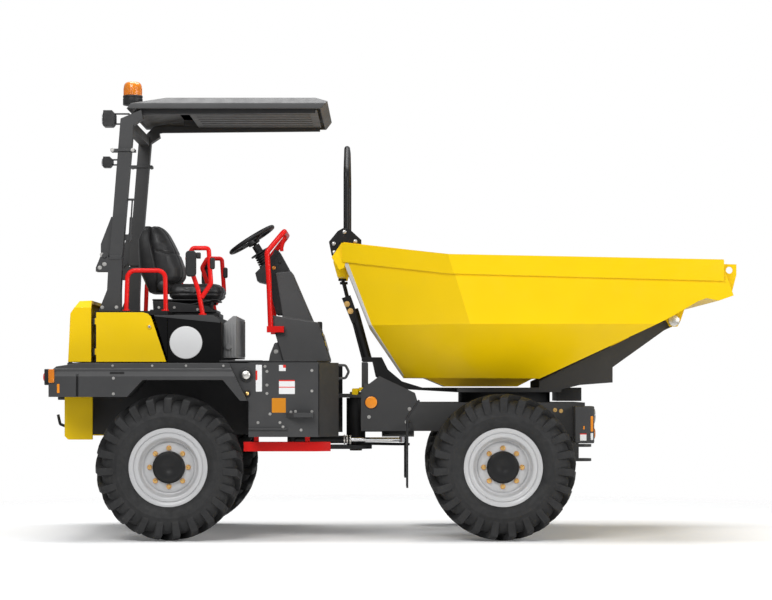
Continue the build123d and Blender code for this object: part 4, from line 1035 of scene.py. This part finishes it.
def end_fittings(side, word):
    """Coupling caps, tail lamps' side glasses, hooks and rubber stops."""
    for tag, x, z, width, height in COUPLING_CAPS:
        cap = plate(x, z, width, height, 0.009, side * CAP_Y - CAP_HALF, side * CAP_Y + CAP_HALF)
        eased(cap, 0.005, 2, f"coupling_cap_{tag}_{word}", "yellow", FF)
    cover = plate(-2.0855, 1.016, 0.036, 0.084, 0.006, side * 0.9295, side * 0.918)
    eased(cover, 0.003, 2, f"tail_side_lens_{word}", "amber", RF)
    y = side * TAIL_HOOK_Y
    hook = corner_path([(-2.048, y, 0.7), (-2.085, y, 0.715), (-2.098, y, 0.775)], 0.012)
    place(pipe(hook, 0.009, "black", 14), f"tail_hook_{word}", "black", RF)
    place(stick((-2.05, y, 0.879), (-2.098, y, 0.879), 0.012), f"tail_stop_{word}", "rubber", RF)


# ---- beacon, steering wheel and dash ----
BEACON_FOOT = Vector((-1.64, -0.45, 2.7365))
BEACON_BASE = [
    (0, 0), (0, 0.0605), (0.004, 0.0625), (0.04, 0.0625), (0.042, 0.06), (0.046, 0.06),
    (0.048, 0.0625), (0.058, 0.0625), (0.0605, 0.06), (0.0605, 0)]
BEACON_DOME = [
    (0.058, 0), (0.058, 0.0575), (0.11, 0.0575), (0.124, 0.056), (0.134, 0.0515), (0.142, 0.044),
    (0.1465, 0.032), (0.1485, 0.018), (0.149, 0)]
FLUTE = [(-0.0022, 0.056), (-0.0012, 0.059), (0.0012, 0.059), (0.0022, 0.056)]
HELM = Vector((-0.901, 0, 1.896))
TILT = math.radians(32)
HELM_AXIS = Vector((-math.sin(TILT), 0, math.cos(TILT)))
GRIP_RADIUS, RING_RADIUS, RING_RISE = 0.0135, 0.158, 0.02
BOSS = [
    (-0.0155, 0.0122), (-0.016, 0.034), (-0.012, 0.041), (0.01, 0.0415), (0.018, 0.036),
    (0.022, 0.024), (0.0235, 0)]


def make_beacon():
    top = BEACON_FOOT + UP
    base = stand_at(lathe(BEACON_BASE, 64), BEACON_FOOT, top)
    place(smooth(base), "beacon_base", "black_plastic", "rops")
    dome = stand_at(lathe(BEACON_DOME, 64), BEACON_FOOT, top)
    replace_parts(place(smooth(dome, 40), "beacon_dome", "amber", "rops"), "beacon")
    flute = rounded(prism(FLUTE, 0.062, 0.108), 0.0004, 1)
    flutes = grown(RING, flute, "amber", Count=36, Start=0.0)
    place(stand_at(flutes, BEACON_FOOT, top), "beacon_flutes", "amber", "rops")


def make_helm():
    turns = [k * math.pi / 9 for k in range(18)]
    ring = [(RING_RISE + GRIP_RADIUS * math.sin(a), RING_RADIUS + GRIP_RADIUS * math.cos(a)) for a in turns]
    spoke = joined(stick((0.03, 0.004, 0), (0.15, 0.019, 0), 0.0085, 16),
                   slab(0.028, 0.078, 0.001, 0.008, -0.016, 0.016))
    spokes = grown(RING, spoke, "black_plastic", Count=3, Start=0.52)
    wheel = joined(smooth(lathe(ring, 96, close=True), 180), smooth(lathe(BOSS, 48), 40), spokes)
    helm = smooth(stand_at(wheel, HELM, HELM + HELM_AXIS), 45)
    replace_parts(place(helm, "steering_wheel_skin", "black_plastic", "helm"), "steering_wheel")
    latch = plate(-0.466, 1.349, 0.03, 0.052, 0.006, -0.05, 0.05)
    eased(latch, 0.003, 2, "shroud_latch", "black_plastic", RF)
    strip = prism([(-0.4455, 1.2966), (-0.4425, 1.2976), (-0.4115, 1.192), (-0.4145, 1.191)], -0.212, 0.212)
    eased(strip, 0.0006, 1, "shroud_hazard_strip", "hazard", RF)


# ---- seat base, arm pads and floor mat ----
SEAT_SIDE = [(-1.535, 1.43), (-1.15, 1.43), (-1.175, 1.47), (-1.42, 1.5), (-1.54, 1.505)]


def seat_base():
    fold = prism([(x - 1.345, y) for x, y in oblong(0.35, 0.31, 0.03, 6)], 0, 0.009, "Z")
    folds = grown(ROW, moved(rounded(fold, 0.004), (0, 0, 1.452)), "rubber", Count=5, Step=(0.0, 0.0, 0.011))
    place(folds, "seat_bellows", "rubber", RF)
    foot = rounded(slab(-1.56, -1.13, -0.19, 0.19, 1.4265, 1.4495), 0.006)
    pan = rounded(slab(-1.545, -1.12, -0.186, 0.186, 1.506, 1.5175), 0.004)
    shelf = rounded(slab(-1.4025, -1.112, -0.188, 0.188, 1.4005, 1.4262), 0.002, 1)
    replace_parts(place(joined(foot, pan, shelf), "seat_base_skin", "black_plastic", RF), "seat_base")


def seat_fittings(side, word):
    """Side plate, lever, arm pad and the clamp with its grip on the hoop."""
    y = side * 0.196
    low, high = sorted((y, y + side * 0.012))
    eased(prism(SEAT_SIDE, low, high), 0.004, 2, f"seat_side_{word}", "black_plastic", RF)
    rod = stick((-1.3, y + side * 0.006, 1.478), (-1.21, y + side * 0.012, 1.5), 0.006, 14)
    knob = stick((-1.222, y + side * 0.011, 1.497), (-1.16, y + side * 0.013, 1.506), 0.011, 18, 0.4)
    place(smooth(joined(rod, knob)), f"seat_lever_{word}", "black_plastic", RF)
    y = side * 0.602
    pad = plate(-1.258, 1.723, 0.068, 0.164, 0.024, y - 0.011, y + 0.011, 8)
    eased(pad, 0.008, 3, f"arm_pad_{word}", "rubber", RF)
    y = side * 0.582
    jaw = rounded(slab(-1.262, -1.204, y - 0.012, y + 0.012, 1.76, 1.792), 0.004)
    y = side * 0.56
    block = rounded(slab(-1.228, -1.2, y - 0.02, y + 0.02, 1.757, 1.795), 0.005)
    grip = rounded(plate(-1.126, 1.726, 0.03, 0.072, 0.012, y - 0.022, y + 0.022, 6), 0.008, 3)
    place(joined(jaw, block, grip), f"hoop_clamp_{word}", "black_plastic", RF)


def floor_mat():
    outline = [(-1.062, -0.836), (-0.456, -0.836), (-0.398, -0.618), (-0.398, 0.618), (-0.456, 0.836),
               (-1.062, 0.836)]
    mat = eased(prism(outline, 1.1004, 1.1115, "Z"), 0.003, 2, "floor_mat", "rubber", RF)
    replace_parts(mat, "platform")
    rib = rounded(slab(-1.04, -0.8, -0.004, 0.004, 1.11, 1.114), 0.0015, 1)
    for start, word in ((-0.8, "right"), (0.26, "left")):
        ribs = grown(ROW, moved(rib, (0, start, 0)), "rubber", Count=28, Step=(0.0, 0.02, 0.0))
        place(ribs, f"mat_ribs_{word}", "rubber", RF)


# ---- glands, roof lining, skip edge, hinge sleeves ----
# collars on the steering cylinder's mouth: x, radius; and their axis's y and z
GLANDS = [(-0.306, 0.031), (-0.288, 0.029), (-0.268, 0.031)]
GLAND_LENGTH, GLAND_Y, GLAND_Z = 0.01, -0.21, 0.61
# door hinges and the length of their sleeves
HINGE_X, HINGE_Y, HINGES_Z, SLEEVE = -1.862, 0.629, (1.1498, 1.3398), 0.0404
# the pale strip down the skip's rear corner, a painted reflection of the white backdrop in the glossy bend of
# the plate there: x, y, z, its width, and the way out of the plate there
PAINTED_REFLECTION = [(-0.2985, 0.4795, 1.733, 0.026, (-0.55, 0.83, 0.0)),
        (-0.142, 0.5045, 1.34, 0.019, (-0.5, 0.75, -0.4)),
        (0.072, 0.298, 1.023, 0.01, (-0.41, 0.61, -0.67))]
EDGE_SLANT, EDGE_HALF = 0.665, 0.002
RIM_CORNER = [(-0.315, 1.86), (-0.378, 1.77), (-0.331, 1.69), (-0.298, 1.701), (-0.29, 1.734),
              (-0.3, 1.86)]


def steering_glands():
    for n, (x, radius) in enumerate(GLANDS):
        profile = [(0, radius * 0.6), (0, radius * 0.94), (GLAND_LENGTH * 0.2, radius),
                   (GLAND_LENGTH * 0.8, radius), (GLAND_LENGTH, radius * 0.94), (GLAND_LENGTH, radius * 0.6)]
        collar = stand_at(lathe(profile, 40, close=True), (x, GLAND_Y, GLAND_Z), (x + 1, GLAND_Y, GLAND_Z))
        place(smooth(collar, 30), f"steer_gland_{n}", "zinc", "steering_barrel")


def roof_lining():
    lining = rounded(slab(-1.3, -0.47, -0.47, 0.47, 2.703, 2.708), 0.002)
    rib = rounded(slab(-1.26, -0.52, -0.006, 0.006, 2.7, 2.704), 0.0015, 1)
    ribs = grown(ROW, moved(rib, (0, -0.36, 0)), "grey_plastic", Count=7, Step=(0.0, 0.12, 0.0))
    place(joined(lining, ribs), "roof_lining", "grey_plastic", "rops")


def skip_edge():
    """The pale strip of painted reflection down the skip's rear corner, the folded corner of the rim band,
    and the covers over the roll-over posts' joint.
    """
    rows = []
    for x, y, z, wide, out in PAINTED_REFLECTION:
        out = Vector(out) * EDGE_HALF
        near, far = Vector((x, y, z)), Vector((x + wide, y + EDGE_SLANT * wide, z))
        rows.append([near + out, far + out, far - out, near - out])
    # painted reflection: this pale strip stands for the white backdrop mirrored in the glossy bend of the
    # skip's rear corner
    strip = rounded(lofted(rows), 0.0005, 1)
    place(across(strip), "skip_edge_painted_reflection_right", "pale", "tub")
    place(strip, "skip_edge_painted_reflection_left", "pale", "tub")
    pair(prism(RIM_CORNER, 0.47, 0.487), "rim_corner", "yellow", "tub", 0.003, 2, home=1)
    cover = slab(-1.776, -1.698, 0.5598, 0.564, 1.75, 1.778)
    pair(cover, "post_joint_cover", "grey", "rops", 0.001, home=1)


def door_hinges():
    """Black sleeves over the engine doors' hinges."""
    for side, word in SIDES:
        y = side * HINGE_Y
        for n, z in enumerate(HINGES_Z):
            sleeve = stick((HINGE_X, y, z), (HINGE_X, y, z + SLEEVE), 0.01)
            place(smooth(sleeve), f"door_hinge_sleeve_{n}_{word}", "black_plastic", f"door_{word}")


make_wheels()
make_seat()
make_skins()
make_fittings()
seat_box_trims()
for side, word in SIDES:
    end_fittings(side, word)
    seat_fittings(side, word)
make_beacon()
make_helm()
seat_base()
floor_mat()
steering_glands()
roof_lining()
skip_edge()
door_hinges()

bpy.context.scene.view_settings.view_transform = "Standard"
set_camera()
set_world()
make_floor()
for name, spot, aim, size, watts in SOFTBOXES:
    softbox(name, spot, aim, size, watts)

size = {"cad": [list(v) for v in CAD_BOX], "visual": [list(v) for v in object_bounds()]}
